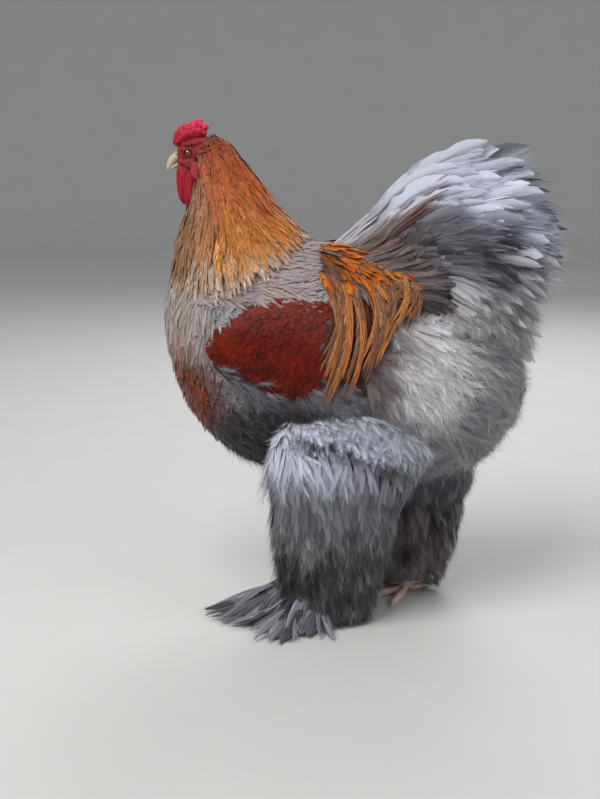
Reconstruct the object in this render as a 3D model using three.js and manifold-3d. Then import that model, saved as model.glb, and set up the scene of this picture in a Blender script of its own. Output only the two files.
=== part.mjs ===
// A brahma cock: a large, deep-bodied, feather-footed chicken that stands with its left foot a step ahead.
// Millimetres. The bird faces -X, its left side is -Y, +Z is up, and it stands on z = 0.
import * as THREE from "three";
import Module from "manifold-3d";

const wasm = await Module();
wasm.setup();

// Driving dimensions
const LEFT = -1;
const RIGHT = 1;
const GAP = 0.35;
const FEATHER = 1.5;
const SMOOTHED = 0.16;
const BLENDED = 0.7;
const BODY = { middle: -36, reach: 254, halfWidth: 124 };
const NECK = { coreShare: 0.62 };
const WING = { rise: 11, shoulder: [-234, 418], tip: [28, 306], upper: 112, lower: 48 };
const SADDLE = { front: -12, rear: 32, half: 46, rise: 9 };
const TAIL = { x: 45, z: 470, core: [78, 0, 516], size: [82, 46, 64] };
const EYE = { x: -257, y: 14.6, z: 670, radius: 5.2 };
const HOCK_HEIGHT = 150;
const ANKLE_HEIGHT = 20;
const TOE_RADIUS = 6.5;
const LEG = {
  left: {
    side: LEFT,
    hip: [-32, 82],
    knee: [-32, 92],
    hock: [-52, 76],
    foot: [-62, 64],
    turn: 4,
    muff: 1,
    fan: { inner: -14, longest: 205, shortest: 84 },
  },
  right: {
    side: RIGHT,
    hip: [34, 80],
    knee: [60, 84],
    hock: [98, 64],
    foot: [64, 44],
    turn: 26,
    muff: 0.76,
    fan: { inner: 24, longest: 140, shortest: 80 },
  },
};

// Each toe's angle is outwards from the way that the foot points.
const TOES = {
  inner: { angle: -42, length: 64, radius: 0.95 },
  middle: { angle: 0, length: 88, radius: 1.1 },
  outer: { angle: 38, length: 72, radius: 0.95 },
  hind: { angle: 172, length: 40, radius: 0.85 },
};

// Small helpers
const rad = THREE.MathUtils.degToRad;
const lerp = THREE.MathUtils.lerp;
const UP = vec(0, 0, 1);
const FORWARD = vec(-1, 0, 0);

function vec(x, y, z) {
  return new THREE.Vector3(x, y, z);
}

// The whole numbers from 0 to count - 1.
function counted(count) {
  return Array.from({ length: count }, (_, i) => i);
}

// A smooth value through [place, value] pairs, level beyond both ends.
function through(pairs) {
  const last = pairs.length - 1;
  const slopes = pairs.map((_, i) => {
    const [xa, ya] = pairs[Math.max(i - 1, 0)];
    const [xb, yb] = pairs[Math.min(i + 1, last)];
    return (yb - ya) / (xb - xa);
  });
  return (place) => {
    const x = THREE.MathUtils.clamp(place, pairs[0][0], pairs[last][0]);
    const i = Math.min(pairs.findLastIndex(([at]) => at <= x), last - 1);
    const [xa, ya] = pairs[i];
    const [xb, yb] = pairs[i + 1];
    const span = xb - xa;
    const t = (x - xa) / span;
    const [t2, t3] = [t * t, t * t * t];
    return (
      (2 * t3 - 3 * t2 + 1) * ya +
      (t3 - 2 * t2 + t) * span * slopes[i] +
      (3 * t2 - 2 * t3) * yb +
      (t3 - t2) * span * slopes[i + 1]
    );
  };
}

// A repeatable series of numbers between -1 and 1.
function wobbles(seed) {
  let state = seed;
  return () => {
    state = (state * 16807) % 2147483647;
    return (state / 2147483647) * 2 - 1;
  };
}

// Solids from rings of points

// One closed solid through rings of equal count. A ring of one point is a tip.
// Other end rings are closed flat.
function skinned(rings) {
  const points = [];
  const triangles = [];
  const starts = rings.map((ring) => points.push(...ring) - ring.length);
  const sides = Math.max(...rings.map((ring) => ring.length));
  rings.slice(1).forEach((ring, k) => {
    const [a, b] = [starts[k], starts[k + 1]];
    const [fromTip, toTip] = [rings[k].length === 1, ring.length === 1];
    counted(sides).forEach((i) => {
      const j = (i + 1) % sides;
      if (fromTip) triangles.push(a, b + i, b + j);
      else if (toTip) triangles.push(a + i, b, a + j);
      else if (i < sides / 2) triangles.push(a + i, b + i, b + j, a + i, b + j, a + j);
      else triangles.push(a + i, b + i, a + j, b + i, b + j, a + j);
    });
  });
  const last = rings.length - 1;
  const inner = counted(sides).slice(1, -1);
  if (rings[0].length > 1) {
    inner.forEach((i) => triangles.push(starts[0], starts[0] + i, starts[0] + i + 1));
  }
  if (rings[last].length > 1) {
    inner.forEach((i) => triangles.push(starts[last], starts[last] + i + 1, starts[last] + i));
  }
  return solidOf(points, triangles);
}

// A solid from points and triangles of either winding.
function solidOf(points, triangles) {
  const vertProperties = new Float32Array(points.flatMap((p) => p.toArray()));
  const wound = (order) => {
    const mesh = new wasm.Mesh({ numProp: 3, vertProperties, triVerts: new Uint32Array(order) });
    return new wasm.Manifold(mesh);
  };
  const made = wound(triangles);
  return made.volume() > 0 ? made : wound(triangles.toReversed());
}

// A three.js geometry, such as a sphere, as a solid.
function solidFrom(geometry) {
  const positions = geometry.attributes.position;
  const places = new Map();
  const points = [];
  const corners = counted(positions.count).map((i) => {
    const p = new THREE.Vector3().fromBufferAttribute(positions, i);
    const key = p.toArray().map((v) => Math.round(v * 1e4)).join();
    if (!places.has(key)) places.set(key, points.push(p) - 1);
    return places.get(key);
  });
  const order = Array.from(geometry.index.array, (i) => corners[i]);
  const triangles = counted(order.length / 3)
    .map((i) => order.slice(3 * i, 3 * i + 3))
    .filter(([a, b, c]) => a !== b && b !== c && a !== c);
  return solidOf(points, triangles.flat());
}

// A ball with three radii, leaning by an angle about Y.
function ball(at, radii, { lean = 0, across = 10, down = 6 } = {}) {
  const turned = new THREE.Quaternion().setFromEuler(new THREE.Euler(0, rad(lean), 0));
  const matrix = new THREE.Matrix4().compose(at, turned, vec(...radii));
  return solidFrom(new THREE.SphereGeometry(1, across, down).applyMatrix4(matrix));
}

// A solid along stations { at, wide, tall }: wide is measured across the path and across the given up.
function limb(stations, { sides = 10, up = UP, pointed = false, out = 0 } = {}) {
  const last = stations.length - 1;
  const rings = stations.map(({ at, wide, tall = wide }, i) => {
    const before = stations[Math.max(i - 1, 0)].at;
    const after = stations[Math.min(i + 1, last)].at;
    const ahead = after.clone().sub(before).normalize();
    const across = ahead.clone().cross(up).normalize();
    const above = across.clone().cross(ahead);
    const middle = at.clone().addScaledVector(ahead, out * ((i === last) - (i === 0)));
    if (pointed && i === last) return [middle];
    return counted(sides).map((k) => {
      const angle = (2 * Math.PI * (k + 0.5)) / sides;
      const [w, a] = [(wide + out) * Math.sin(angle), (tall + out) * Math.cos(angle)];
      return middle.clone().addScaledVector(across, w).addScaledVector(above, a);
    });
  });
  return skinned(rings);
}

// A limb in the middle plane through rows of x, z, half width and half height.
function midLimb(rows, options) {
  return limb(
    rows.map(([x, z, wide, tall]) => ({ at: vec(x, 0, z), wide, tall })),
    options,
  );
}

function joined(pieces) {
  return wasm.Manifold.union(pieces);
}

// A core and the feathers that grow from it, with the slivers where they cross smoothed away.
function plumed(core, feathers) {
  return joined([core, ...feathers]).asOriginal().simplify(BLENDED);
}

// What is left of a solid once others are cut away, less any loose crumbs.
function cutBy(solid, others) {
  return largest(others.reduce((rest, other) => rest.subtract(other), solid));
}

function largest(solid) {
  return solid.decompose().sort((a, b) => b.volume() - a.volume())[0];
}

// Surfaces: a function of two places, lengthwise and round, with round in degrees

// The point that is raised by out above a surface, and the outward normal there.
function raised(surface, along, round, out) {
  const step = 0.5;
  const point = surface(along, round);
  const lengthwise = surface(along + step, round).sub(surface(along - step, round));
  const sideways = surface(along, round + step).sub(surface(along, round - step));
  const normal = lengthwise.cross(sideways).normalize();
  if (normal.dot(surface(along, round + 180).sub(point)) > 0) normal.negate();
  return { point: point.addScaledVector(normal, out), normal };
}

function surfaceRings(surface, places, sides, out) {
  const rounds = counted(sides).map((k) => (360 * (k + 0.5)) / sides);
  return places.map((along) => rounds.map((round) => raised(surface, along, round, out).point));
}

// A low dome on a surface: each row of points goes over the top of it and back below the surface.
function domed(rows) {
  const over = (row) => row.map(({ top }) => top);
  const back = (row) => row.map(({ under }) => under).reverse();
  return skinned(rows.map((row) => [...over(row), ...back(row)]));
}

// A flat feather along a spine, where spine(t) gives the point and the way that its face looks.
function feather(spine, width, { thick = FEATHER, steps = 3, roll = 0, blunt = false, out = 0 } = {}) {
  const near = 0.03;
  const rings = counted(steps + 1).map((i) => {
    const t = blunt ? Math.sin((Math.PI / 2) * (i / steps)) : i / steps;
    const { point, normal } = spine(t);
    const ahead = spine(Math.min(t + near, 1)).point.sub(spine(Math.max(t - near, 0)).point).normalize();
    const across = ahead.clone().cross(normal).normalize().applyAxisAngle(ahead, rad(roll));
    const face = across.clone().cross(ahead);
    const half = width(t) / 2 + out;
    const deep = (thick * lerp(1, 0.6, t)) / 2 + out;
    if (i === steps) point.addScaledVector(ahead, 2 * out);
    if (i === steps && !blunt) return [point];
    const corners = [[1, 1], [-1, 1], [-1, -1], [1, -1]];
    return corners.map(([w, d]) => {
      return point.clone().addScaledVector(across, w * half).addScaledVector(face, d * deep);
    });
  });
  return skinned(rings);
}

// How wide a feather is along its length, as a share of its widest
const POINTED = through([[0, 0.55], [0.35, 1], [0.7, 0.82], [1, 0.1]]);
const ROUNDED = through([[0, 0.3], [0.45, 0.74], [0.8, 1], [1, 0.5]]);

// Torso: a deep egg from the breast to the fluff under the tail, lengthwise from -90 to 90 degrees

const torsoLine = through([[-90, 450], [-33, 424], [0, 393], [35, 360], [90, 333]]);
const torsoRise = through([[-90, 150], [-33, 140], [0, 140], [22, 152], [50, 142], [90, 135]]);
const torsoDrop = through([[-90, 320], [-58, 268], [-33, 230], [0, 194], [45, 183], [62, 162], [90, 160]]);
const torsoHalf = through([
  [-90, 1.5],
  [-58, 1.31],
  [-33, 1.11],
  [0, 1],
  [35, 1.03],
  [60, 1.17],
  [90, 1.25],
]);

function torsoSurface(along, round) {
  const small = Math.cos(rad(along));
  const [c, s] = [Math.cos(rad(round)), Math.sin(rad(round))];
  const tall = c > 0 ? torsoRise(along) : torsoDrop(along);
  return vec(
    BODY.middle + BODY.reach * Math.sin(rad(along)),
    BODY.halfWidth * torsoHalf(along) * small * s,
    torsoLine(along) + small * tall * c,
  );
}

function torsoSolid(out) {
  const rings = surfaceRings(torsoSurface, counted(14).map((i) => -82 + 12.4 * i), 24, out);
  const front = vec(BODY.middle - BODY.reach - out, 0, torsoLine(-90));
  const rear = vec(BODY.middle + BODY.reach + out, 0, torsoLine(90));
  return skinned([[front], ...rings, [rear]]);
}

// The point on the torso's flank that a side view shows at x and z.
function flank(x, z, out, side) {
  const along = THREE.MathUtils.radToDeg(Math.asin((x - BODY.middle) / BODY.reach));
  const high = z - torsoLine(along);
  const tall = (high > 0 ? torsoRise(along) : torsoDrop(along)) * Math.cos(rad(along));
  const round = THREE.MathUtils.radToDeg(Math.acos(THREE.MathUtils.clamp(high / tall, -0.96, 0.96)));
  return raised(torsoSurface, along, side * round, out);
}

// Neck: a flared cape of long pointed feathers round a core, lengthwise from 0 at the head
// to 100 at the breast

const NECK_ROWS = [
  { along: -26, x: -241, z: 687, back: 16, front: 9, half: 14 },
  { along: -12, x: -233, z: 676, back: 28, front: 14, half: 22.5 },
  { along: 0, x: -228, z: 664, back: 37, front: 25, half: 28 },
  { along: 33, x: -211, z: 602, back: 64, front: 55, half: 50 },
  { along: 55, x: -199, z: 556, back: 88, front: 82, half: 74 },
  { along: 80, x: -184, z: 505, back: 110, front: 108, half: 102 },
  { along: 100, x: -170, z: 464, back: 116, front: 122, half: 124 },
  { along: 120, x: -158, z: 424, back: 118, front: 126, half: 130 },
];
const neckCurve = (key) => through(NECK_ROWS.map((row) => [row.along, row[key]]));
const [neckX, neckZ, neckBack] = [neckCurve("x"), neckCurve("z"), neckCurve("back")];
const [neckFront, neckHalf] = [neckCurve("front"), neckCurve("half")];

// The cape's outline scaled by share. Round is 0 at the nape.
function neckSurface(along, round, share) {
  const step = 2;
  const before = vec(neckX(along - step), 0, neckZ(along - step));
  const ahead = vec(neckX(along + step), 0, neckZ(along + step)).sub(before).normalize();
  const [c, s] = [Math.cos(rad(round)), Math.sin(rad(round))];
  const deep = (c > 0 ? neckBack(along) : neckFront(along)) * share * c;
  return vec(neckX(along) - ahead.z * deep, neckHalf(along) * share * s, neckZ(along) + ahead.x * deep);
}

// The coat thins out towards the crown.
const coreShare = through([[-12, 1], [6, 0.9], [30, NECK.coreShare], [100, NECK.coreShare]]);

function neckCore(out = 0) {
  const core = (along, round) => neckSurface(along, round, coreShare(along));
  return skinned(surfaceRings(core, [-26, -12, 0, 18, 36, 54, 72, 90, 105], 14, out));
}

// Each tier ends higher on the back than on the breast.
function hackle() {
  const wobble = wobbles(11);
  const tiers = [
    { root: -8, tip: 33, count: 7, width: 27 },
    { root: 12, tip: 56, count: 9, width: 34 },
    { root: 30, tip: 78, count: 10, width: 40 },
    { root: 50, tip: 101, count: 12, width: 44 },
  ];
  return tiers.flatMap(({ root, tip, count, width }, tier) =>
    counted(count).map((k) => {
      const round = (360 * (k + 0.5 * (tier % 2)) + 50 * wobble()) / count;
      const backness = Math.max(0, Math.cos(rad(round))) ** 2;
      const end = tip * (1 - 0.27 * backness * (tip / 100) ** 2) + 2.5 * wobble();
      const spine = (t) => {
        const share = lerp(coreShare(root) - 0.08, 1.02, t ** 0.5);
        const surface = (along, around) => neckSurface(along, around, share);
        return raised(surface, lerp(root, end, t), round + 5 * t * Math.sin(Math.PI * t), 0);
      };
      return feather(spine, (t) => width * POINTED(t), { roll: 7 });
    }),
  );
}

// Wings: a pad on each flank, under tiers of coverts and flight feathers

const wingUpper = through([
  [0, 0],
  [0.04, 0.3],
  [0.15, 0.72],
  [0.35, 1],
  [0.55, 0.98],
  [0.75, 0.72],
  [0.92, 0.3],
  [1, 0],
]);
const wingLower = through([
  [0, 0],
  [0.04, 0.3],
  [0.15, 0.7],
  [0.4, 1],
  [0.65, 0.95],
  [0.85, 0.6],
  [0.95, 0.3],
  [1, 0],
]);

// A place on the wing: along from the shoulder to the tip, and across from -1 at the lower edge
// to 1 at the upper.
function onWing(along, across, out, side) {
  const edge = across > 0 ? WING.upper * wingUpper(along) : WING.lower * wingLower(along);
  const reach = edge * across;
  const axis = new THREE.Vector2(...WING.tip).sub(new THREE.Vector2(...WING.shoulder));
  const aside = axis.clone().normalize();
  const x = WING.shoulder[0] + axis.x * along - aside.y * reach;
  const z = WING.shoulder[1] + axis.y * along + aside.x * reach;
  return flank(x, z, out, side);
}

function wingPad(side, out) {
  const lanes = counted(6).map((k) => (2 * k) / 5 - 1);
  const rows = [0.02, 0.12, 0.28, 0.46, 0.64, 0.8, 0.92, 0.98].map((along) =>
    lanes.map((across) => {
      const rise = 2.5 + (WING.rise - 2.5) * (1 - across ** 4) * Math.sqrt(Math.sin(Math.PI * along));
      const wider = across * (1 + out / 40);
      const under = onWing(along, wider, -6, side).point;
      return { top: onWing(along, wider, rise + out, side).point, under };
    }),
  );
  return domed(rows);
}

function wingSolid(side, out = 0) {
  const wobble = wobbles(23);
  const tiers = [
    { count: 3, from: [0.5, -0.6], to: [0.64, -0.25], reach: [0.4, -0.1], width: 24, rise: 3 },
    { count: 5, from: [0.34, -0.6], to: [0.58, 0.45], reach: [0.37, -0.42], width: 32, rise: 7 },
    { count: 4, from: [0.18, -0.5], to: [0.4, 0.6], reach: [0.28, -0.25], width: 40, rise: 10 },
    { count: 3, from: [0.06, -0.3], to: [0.22, 0.5], reach: [0.24, -0.16], width: 44, rise: 12 },
  ];
  const feathers = tiers.flatMap(({ count, from, to, reach, width, rise }) =>
    counted(count).map((k) => {
      const share = k / (count - 1);
      const [along, across] = [lerp(from[0], to[0], share), lerp(from[1], to[1], share)];
      const length = 1 + 0.08 * wobble();
      const spine = (t) => {
        const high = lerp(rise - 6, rise + 3.5, Math.min(1, 2.2 * t));
        const place = Math.min(along + reach[0] * length * t, 0.995);
        return onWing(place, across + reach[1] * length * t, high, side);
      };
      return feather(spine, (t) => width * ROUNDED(t), { blunt: true, roll: -7 * side, steps: 2, out });
    }),
  );
  return joined([wingPad(side, out), ...feathers]);
}

// Saddle: a low cap over the back, from which long pointed feathers hang over the ends of the wings

function saddleCap(out) {
  const lanes = counted(6).map((k) => ((2 * k) / 5 - 1) * SADDLE.half);
  const rows = counted(6).map((k) =>
    lanes.map((round) => {
      const along = lerp(SADDLE.front, SADDLE.rear, k / 5);
      const swell = Math.sin((Math.PI * (k + 0.6)) / 6.2) ** 0.4;
      const rise = 2 + (SADDLE.rise - 2) * swell * (1 - (round / SADDLE.half) ** 4);
      const under = raised(torsoSurface, along, round, -6).point;
      return { top: raised(torsoSurface, along, round, rise + out).point, under };
    }),
  );
  return domed(rows);
}

function saddleSolid(out = 0) {
  const wobble = wobbles(37);
  const tiers = [
    { count: 6, root: 36, tip: 103, rear: 25, width: 24, rise: 21 },
    { count: 4, root: 22, tip: 82, rear: 12, width: 27, rise: 24 },
    { count: 3, root: 9, tip: 58, rear: -2, width: 29, rise: 26 },
  ];
  const feathers = [LEFT, RIGHT].flatMap((side) =>
    tiers.flatMap(({ count, root, tip, rear, width, rise }) =>
      counted(count).map((k) => {
        const place = k / (count - 1);
        const start = lerp(SADDLE.front + 2, rear, place);
        const end = tip * (1 + 0.07 * wobble()) - 14 * place ** 2;
        const spine = (t) => {
          const high = lerp(4, rise, Math.min(1, 3 * t));
          const along = start + 9 * Math.sin((Math.PI / 2) * t);
          return raised(torsoSurface, along, side * lerp(root, end, t), high);
        };
        return feather(spine, (t) => width * POINTED(t), { roll: 6 * side, out });
      }),
    ),
  );
  return plumed(saddleCap(out), feathers);
}

// Tail: tiers of broad feathers that spring from a core, rise and arch over to the rear and to both sides

const fanReach = through([
  [-40, 196],
  [-27, 217],
  [-8, 216],
  [16, 252],
  [34, 262],
  [47, 266],
  [60, 246],
  [75, 202],
  [91, 160],
  [110, 128],
  [128, 105],
]);

function tailCore(out) {
  const rows = counted(7).map((i) => {
    const angle = rad(-78 + 26 * i);
    return counted(14).map((k) => {
      const around = (2 * Math.PI * (k + 0.5)) / 14;
      return vec(
        TAIL.core[0] + (TAIL.size[0] + out) * Math.cos(angle) * Math.cos(around),
        (TAIL.size[1] + out) * Math.sin(angle),
        TAIL.core[2] + (TAIL.size[2] + out) * Math.cos(angle) * Math.sin(around),
      );
    });
  });
  return skinned(rows);
}

function tailFeathers() {
  const wobble = wobbles(53);
  const tiers = [
    { count: 8, low: -28, high: 100, share: 0.99, inner: 8, outer: 18, width: 60 },
    { count: 7, low: -36, high: 90, share: 0.91, inner: 19, outer: 46, width: 60 },
    { count: 5, low: -34, high: 96, share: 0.77, inner: 29, outer: 72, width: 62 },
    { count: 4, low: 18, high: 100, share: 0.63, inner: 38, outer: 82, width: 58 },
  ];
  return [LEFT, RIGHT].flatMap((side) =>
    tiers.flatMap(({ count, low, high, share, inner, outer, width }) =>
      counted(count).map((k) => {
        const aim = lerp(low, high, k / (count - 1)) + 3 * wobble();
        return tailFeather({ side, aim, share: share * (1 + 0.03 * wobble()), inner, outer, width });
      }),
    ),
  );
}

// A tail feather bends from the core to its tip on the fan, with its face to the side and its
// fore edge leaning in.
function tailFeather({ side, aim, share, inner, outer, width }) {
  const way = (angle, far) => {
    return new THREE.Vector2(Math.cos(rad(angle)), Math.sin(rad(angle))).multiplyScalar(far);
  };
  const root = way(aim + 35, 26).add(new THREE.Vector2(TAIL.core[0], TAIL.core[2] - 4));
  const tip = way(aim, fanReach(aim) * share).add(new THREE.Vector2(TAIL.x, TAIL.z));
  const reach = tip.clone().sub(root);
  const bend = new THREE.Vector2(-reach.y, reach.x).multiplyScalar(0.2);
  const middle = root.clone().lerp(tip, 0.5).add(bend);
  const tent = lerp(1, 0.5, Math.max(0, Math.sin(rad(aim))));
  const spine = (t) => {
    const x = (1 - t) ** 2 * root.x + 2 * t * (1 - t) * middle.x + t * t * tip.x;
    const z = (1 - t) ** 2 * root.y + 2 * t * (1 - t) * middle.y + t * t * tip.y;
    const point = vec(x, side * lerp(inner, outer * tent, t ** 0.8), z);
    return { point, normal: vec(-0.22 * Math.sin(rad(aim)), side, 0.22 * Math.cos(rad(aim))).normalize() };
  };
  return feather(spine, (t) => width * ROUNDED(t), { blunt: true, thick: 1.8 });
}

// Legs: a full thigh, then a shank with feathers down to the floor, some of them fanned out over the toes

function thighSolid({ side, hip, knee, hock, muff }, out = 0) {
  const full = lerp(1, muff, 0.7);
  const stations = [
    { z: 345, x: hip[0], y: hip[1] - 10, deep: 40, wide: 22 },
    { z: 315, x: hip[0], y: hip[1], deep: 84, wide: 38 },
    { z: 282, x: knee[0], y: knee[1] - 3, deep: 108, wide: 50 },
    { z: 246, x: knee[0], y: knee[1], deep: 113, wide: 56 },
    { z: 212, x: lerp(knee[0], hock[0], 0.4), y: lerp(knee[1], hock[1], 0.4), deep: 104, wide: 56 },
    { z: 182, x: lerp(knee[0], hock[0], 0.8), y: lerp(knee[1], hock[1], 0.8), deep: 94, wide: 52 },
    { z: 160, x: hock[0], y: hock[1], deep: 78, wide: 44 },
  ];
  const rings = stations.map(({ z, x, y, deep, wide }) => ({
    at: vec(x, side * y, z),
    wide: wide * full,
    tall: deep * full,
  }));
  return limb(rings, { sides: 18, up: FORWARD, out });
}

function shankAt({ side, hock, foot }, height) {
  const t = (HOCK_HEIGHT - height) / (HOCK_HEIGHT - ANKLE_HEIGHT);
  return vec(lerp(hock[0], foot[0], t), side * lerp(hock[1], foot[1], t), height);
}

// Half of the feathered shank's length from front to rear, by height
const muffReach = through([[0, 62], [40, 72], [80, 80], [118, 87], [165, 92]]);

function shankSolid(leg) {
  const core = limb(
    [172, 140, 110, 80, 50, 26].map((height) => {
      const tall = muffReach(height) * leg.muff * 0.5;
      return { at: shankAt(leg, height), wide: tall * 0.62, tall };
    }),
    { sides: 12, up: FORWARD },
  );
  const wobble = wobbles(71 + leg.side);
  const tiers = [
    { root: 158, tip: 92, count: 8 },
    { root: 122, tip: 52, count: 7 },
    { root: 84, tip: 10, count: 7 },
  ];
  const feathers = tiers.flatMap(({ root, tip, count }, tier) =>
    counted(count).map((k) => {
      const round = (360 * (k + 0.5 * (tier % 2))) / count + 5 * wobble();
      const [ahead, outside] = [Math.cos(rad(round)), Math.sin(rad(round))];
      const spread = leg.muff * (1 + 0.05 * wobble());
      const spine = (t) => {
        const height = lerp(root, tip, t ** 1.3);
        const start = shankAt(leg, height);
        const far = muffReach(height) * spread * lerp(0.4, 1, t ** 0.5);
        const wide = outside < 0 ? 0.58 : 0.72;
        const point = vec(start.x - far * ahead, start.y + leg.side * far * wide * outside, height);
        return { point, normal: vec(-ahead, leg.side * outside, 0.5).normalize() };
      };
      return feather(spine, (t) => 56 * leg.muff * ROUNDED(t), { blunt: true, roll: 8, steps: 2 });
    }),
  );
  return plumed(core, [...feathers, ...toeFeathers(leg)]);
}

// Feathers fan out low over the middle and outer toes and to the outside.
function toeFeathers(leg) {
  const wobble = wobbles(91 + leg.side);
  const count = 9;
  return counted(count).map((k) => {
    const share = k / (count - 1);
    const angle = lerp(leg.fan.inner, 96, share) + 2 * wobble();
    const way = toeWay(leg, angle);
    const length = lerp(leg.fan.longest, leg.fan.shortest, share ** 0.7) * (1 + 0.07 * wobble());
    const end = k % 2 ? 10 : 6;
    const start = shankAt(leg, 34).addScaledVector(way, 6);
    const spine = (t) => {
      const height = lerp(34, end, t ** 0.6) + 7 * Math.sin(Math.PI * t);
      return { point: start.clone().addScaledVector(way, length * t).setZ(height), normal: vec(0, 0, 1) };
    };
    return feather(spine, (t) => 34 * ROUNDED(t), { blunt: true, roll: 16 * leg.side, steps: 2 });
  });
}

// The way that a toe points, and a place along it.
function toeWay({ side, turn }, angle) {
  const heading = rad(angle - turn);
  return vec(-Math.cos(heading), side * Math.sin(heading), 0);
}

function toePlace(leg, { angle, radius }, far) {
  const thick = TOE_RADIUS * radius * lerp(1, 0.72, far / 90);
  return vec(leg.foot[0], leg.side * leg.foot[1], 0)
    .addScaledVector(toeWay(leg, angle), far)
    .setZ(Math.max(thick * 0.74, 16 - far * 0.9));
}

function footSolid(leg, out = 0) {
  const ankle = limb(
    [26, 20, 12, 6].map((height, i) => ({
      at: vec(leg.foot[0], leg.side * leg.foot[1], height),
      wide: [10, 11, 12, 9][i],
    })),
    { sides: 8, up: FORWARD, out },
  );
  const toes = Object.values(TOES).map((toe) => {
    const places = [0, 0.3, 0.5, 0.72, 0.94, 1];
    return limb(
      places.map((share, i) => {
        const far = toe.length * share;
        const joint = [1, 0.92, 1.1, 0.9, 1, 0.62][i];
        const wide = TOE_RADIUS * toe.radius * lerp(1, 0.72, far / 90) * joint;
        return { at: toePlace(leg, toe, far), wide };
      }),
      { sides: 6, out },
    );
  });
  return joined([ankle, ...toes]);
}

function clawSolid(leg, toe) {
  const way = toeWay(leg, toe.angle);
  const start = toePlace(leg, toe, toe.length).addScaledVector(way, GAP);
  const stations = [0, 0.35, 0.7, 1].map((share, i) => ({
    at: start.clone().addScaledVector(way, 13 * share).setZ(lerp(start.z, 0.9, share ** 1.6)),
    wide: [2.3, 2.1, 1.4, 0][i],
  }));
  return limb(stations, { sides: 6, pointed: true });
}

// Head: a short broad skull with a heavy brow, a stout beak, a pea comb, wattles and ear lobes

function skullSolid(out = 0) {
  const rows = [
    [-272, 667, 8, 10],
    [-267, 667.5, 12, 15],
    [-258, 668.5, 16, 21.5],
    [-245, 669, 19, 25],
    [-233, 668, 19.5, 25],
    [-223, 665, 17, 22],
    [-211, 661, 8, 11],
  ];
  const skull = midLimb(rows, { sides: 14, out });
  const features = [LEFT, RIGHT].flatMap((side) => [
    eyelid(side, 1, out),
    eyelid(side, -1, out),
    ball(vec(-252, side * 16.5, 681), [13 + out, 4 + out, 3 + out], { lean: -12, across: 7, down: 4 }),
    ball(vec(-254, side * 15.5, 656), [12 + out, 5 + out, 7 + out], { across: 7, down: 4 }),
  ]);
  return joined([skull, ...features]);
}

// A lid is half of a rounded rim round the eye, above or below.
function eyelid(side, above, out) {
  const stations = counted(5).map((i) => {
    const angle = rad(-8 + 49 * i);
    return {
      at: vec(EYE.x + 6.4 * Math.cos(angle), side * 16.6, EYE.z + above * 5 * Math.sin(angle)),
      wide: 1.7,
    };
  });
  return limb(stations, { sides: 4, up: vec(0, side, 0), out });
}

function eyeSolid(side, out = 0) {
  const radius = EYE.radius + out;
  return ball(vec(EYE.x, side * EYE.y, EYE.z), [radius, radius * 0.8, radius], { across: 12, down: 6 });
}

function earHollow(side) {
  return ball(vec(-244, side * 19, 660), [3, 3, 3.6], { across: 8, down: 5 });
}

function beakUpper(out = 0) {
  const rows = [
    [-264, 667, 9.5, 8],
    [-271, 665.5, 8.6, 7.4],
    [-278, 661.5, 6.8, 6.2],
    [-283, 656, 4.6, 4.6],
    [-286, 650, 2.6, 3],
    [-286.6, 645, 0, 0],
  ];
  return midLimb(rows, { sides: 10, pointed: true, out });
}

function beakLower(out = 0) {
  const rows = [
    [-262, 656, 8.5, 4],
    [-270, 654.6, 7.4, 3.8],
    [-276, 652.2, 5.4, 3.2],
    [-281, 649.4, 3, 2.2],
    [-283.6, 647.4, 0, 0],
  ];
  return midLimb(rows, { sides: 10, pointed: true, out });
}

function nostril(side) {
  return ball(vec(-273.5, side * 8.2, 667), [2.6, 1.6, 1.1], { lean: -24, across: 8, down: 5 });
}

// A pea comb has three low rows of rounded points, the middle one the tallest.
function combSolid() {
  const rows = [
    [-276, 682, 4, 5],
    [-270, 688, 9, 9],
    [-258, 695, 12, 11],
    [-245, 698, 12, 11],
    [-237, 698, 9, 8],
    [-231, 698, 4, 4],
  ];
  const crest = through([[-276, 686], [-264, 697], [-250, 703], [-238, 702], [-231, 699]]);
  const pointRows = [
    { y: 0, count: 5, size: 5.4, lift: 5 },
    { y: 8.5, count: 4, size: 4.8, lift: 0 },
    { y: -8.5, count: 4, size: 4.8, lift: 0 },
  ];
  const points = pointRows.flatMap(({ y, count, size, lift }) =>
    counted(count).map((k) => {
      const middling = Math.sin((Math.PI * (k + 0.5)) / count);
      const at = vec(lerp(-272, -234, k / (count - 1)), y * (0.5 + 0.5 * middling), 0);
      const radii = [size, size * 0.9, size * (1 + 0.5 * middling)];
      return ball(at.setZ(crest(at.x) + lift), radii, { across: 6, down: 4 });
    }),
  );
  return joined([midLimb(rows), ...points]);
}

// A wattle hangs from the jaw as a thin, rounded lobe with three soft folds.
function wattleSolid(side, out = 0) {
  const edge = [
    [656, -264, 9, 8, 3],
    [650, -263, 10, 11, 3.6],
    [638, -260, 11.4, 15, 4.2],
    [624, -259, 12, 16.5, 4.6],
    [611, -261, 12.4, 14.5, 4.4],
    [603, -263, 12.6, 9.5, 3.4],
    [599, -263, 12.6, 4.5, 2],
  ];
  const lobe = limb(
    edge.map(([z, x, y, tall, wide]) => ({ at: vec(x, side * y, z), wide, tall })),
    { sides: 10, up: FORWARD, out },
  );
  const folds = [-6, 6].map((shift, i) =>
    limb(
      [646, 630, 614].map((z, k) => ({
        at: vec(-260 + shift * [0.7, 1, 0.8][k], side * [13.5, 15.6, 15.8][k], z + i),
        wide: [1.2, 2.2, 1.4][k],
      })),
      { sides: 5, up: FORWARD, out },
    ),
  );
  return joined([lobe, ...folds]);
}

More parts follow.
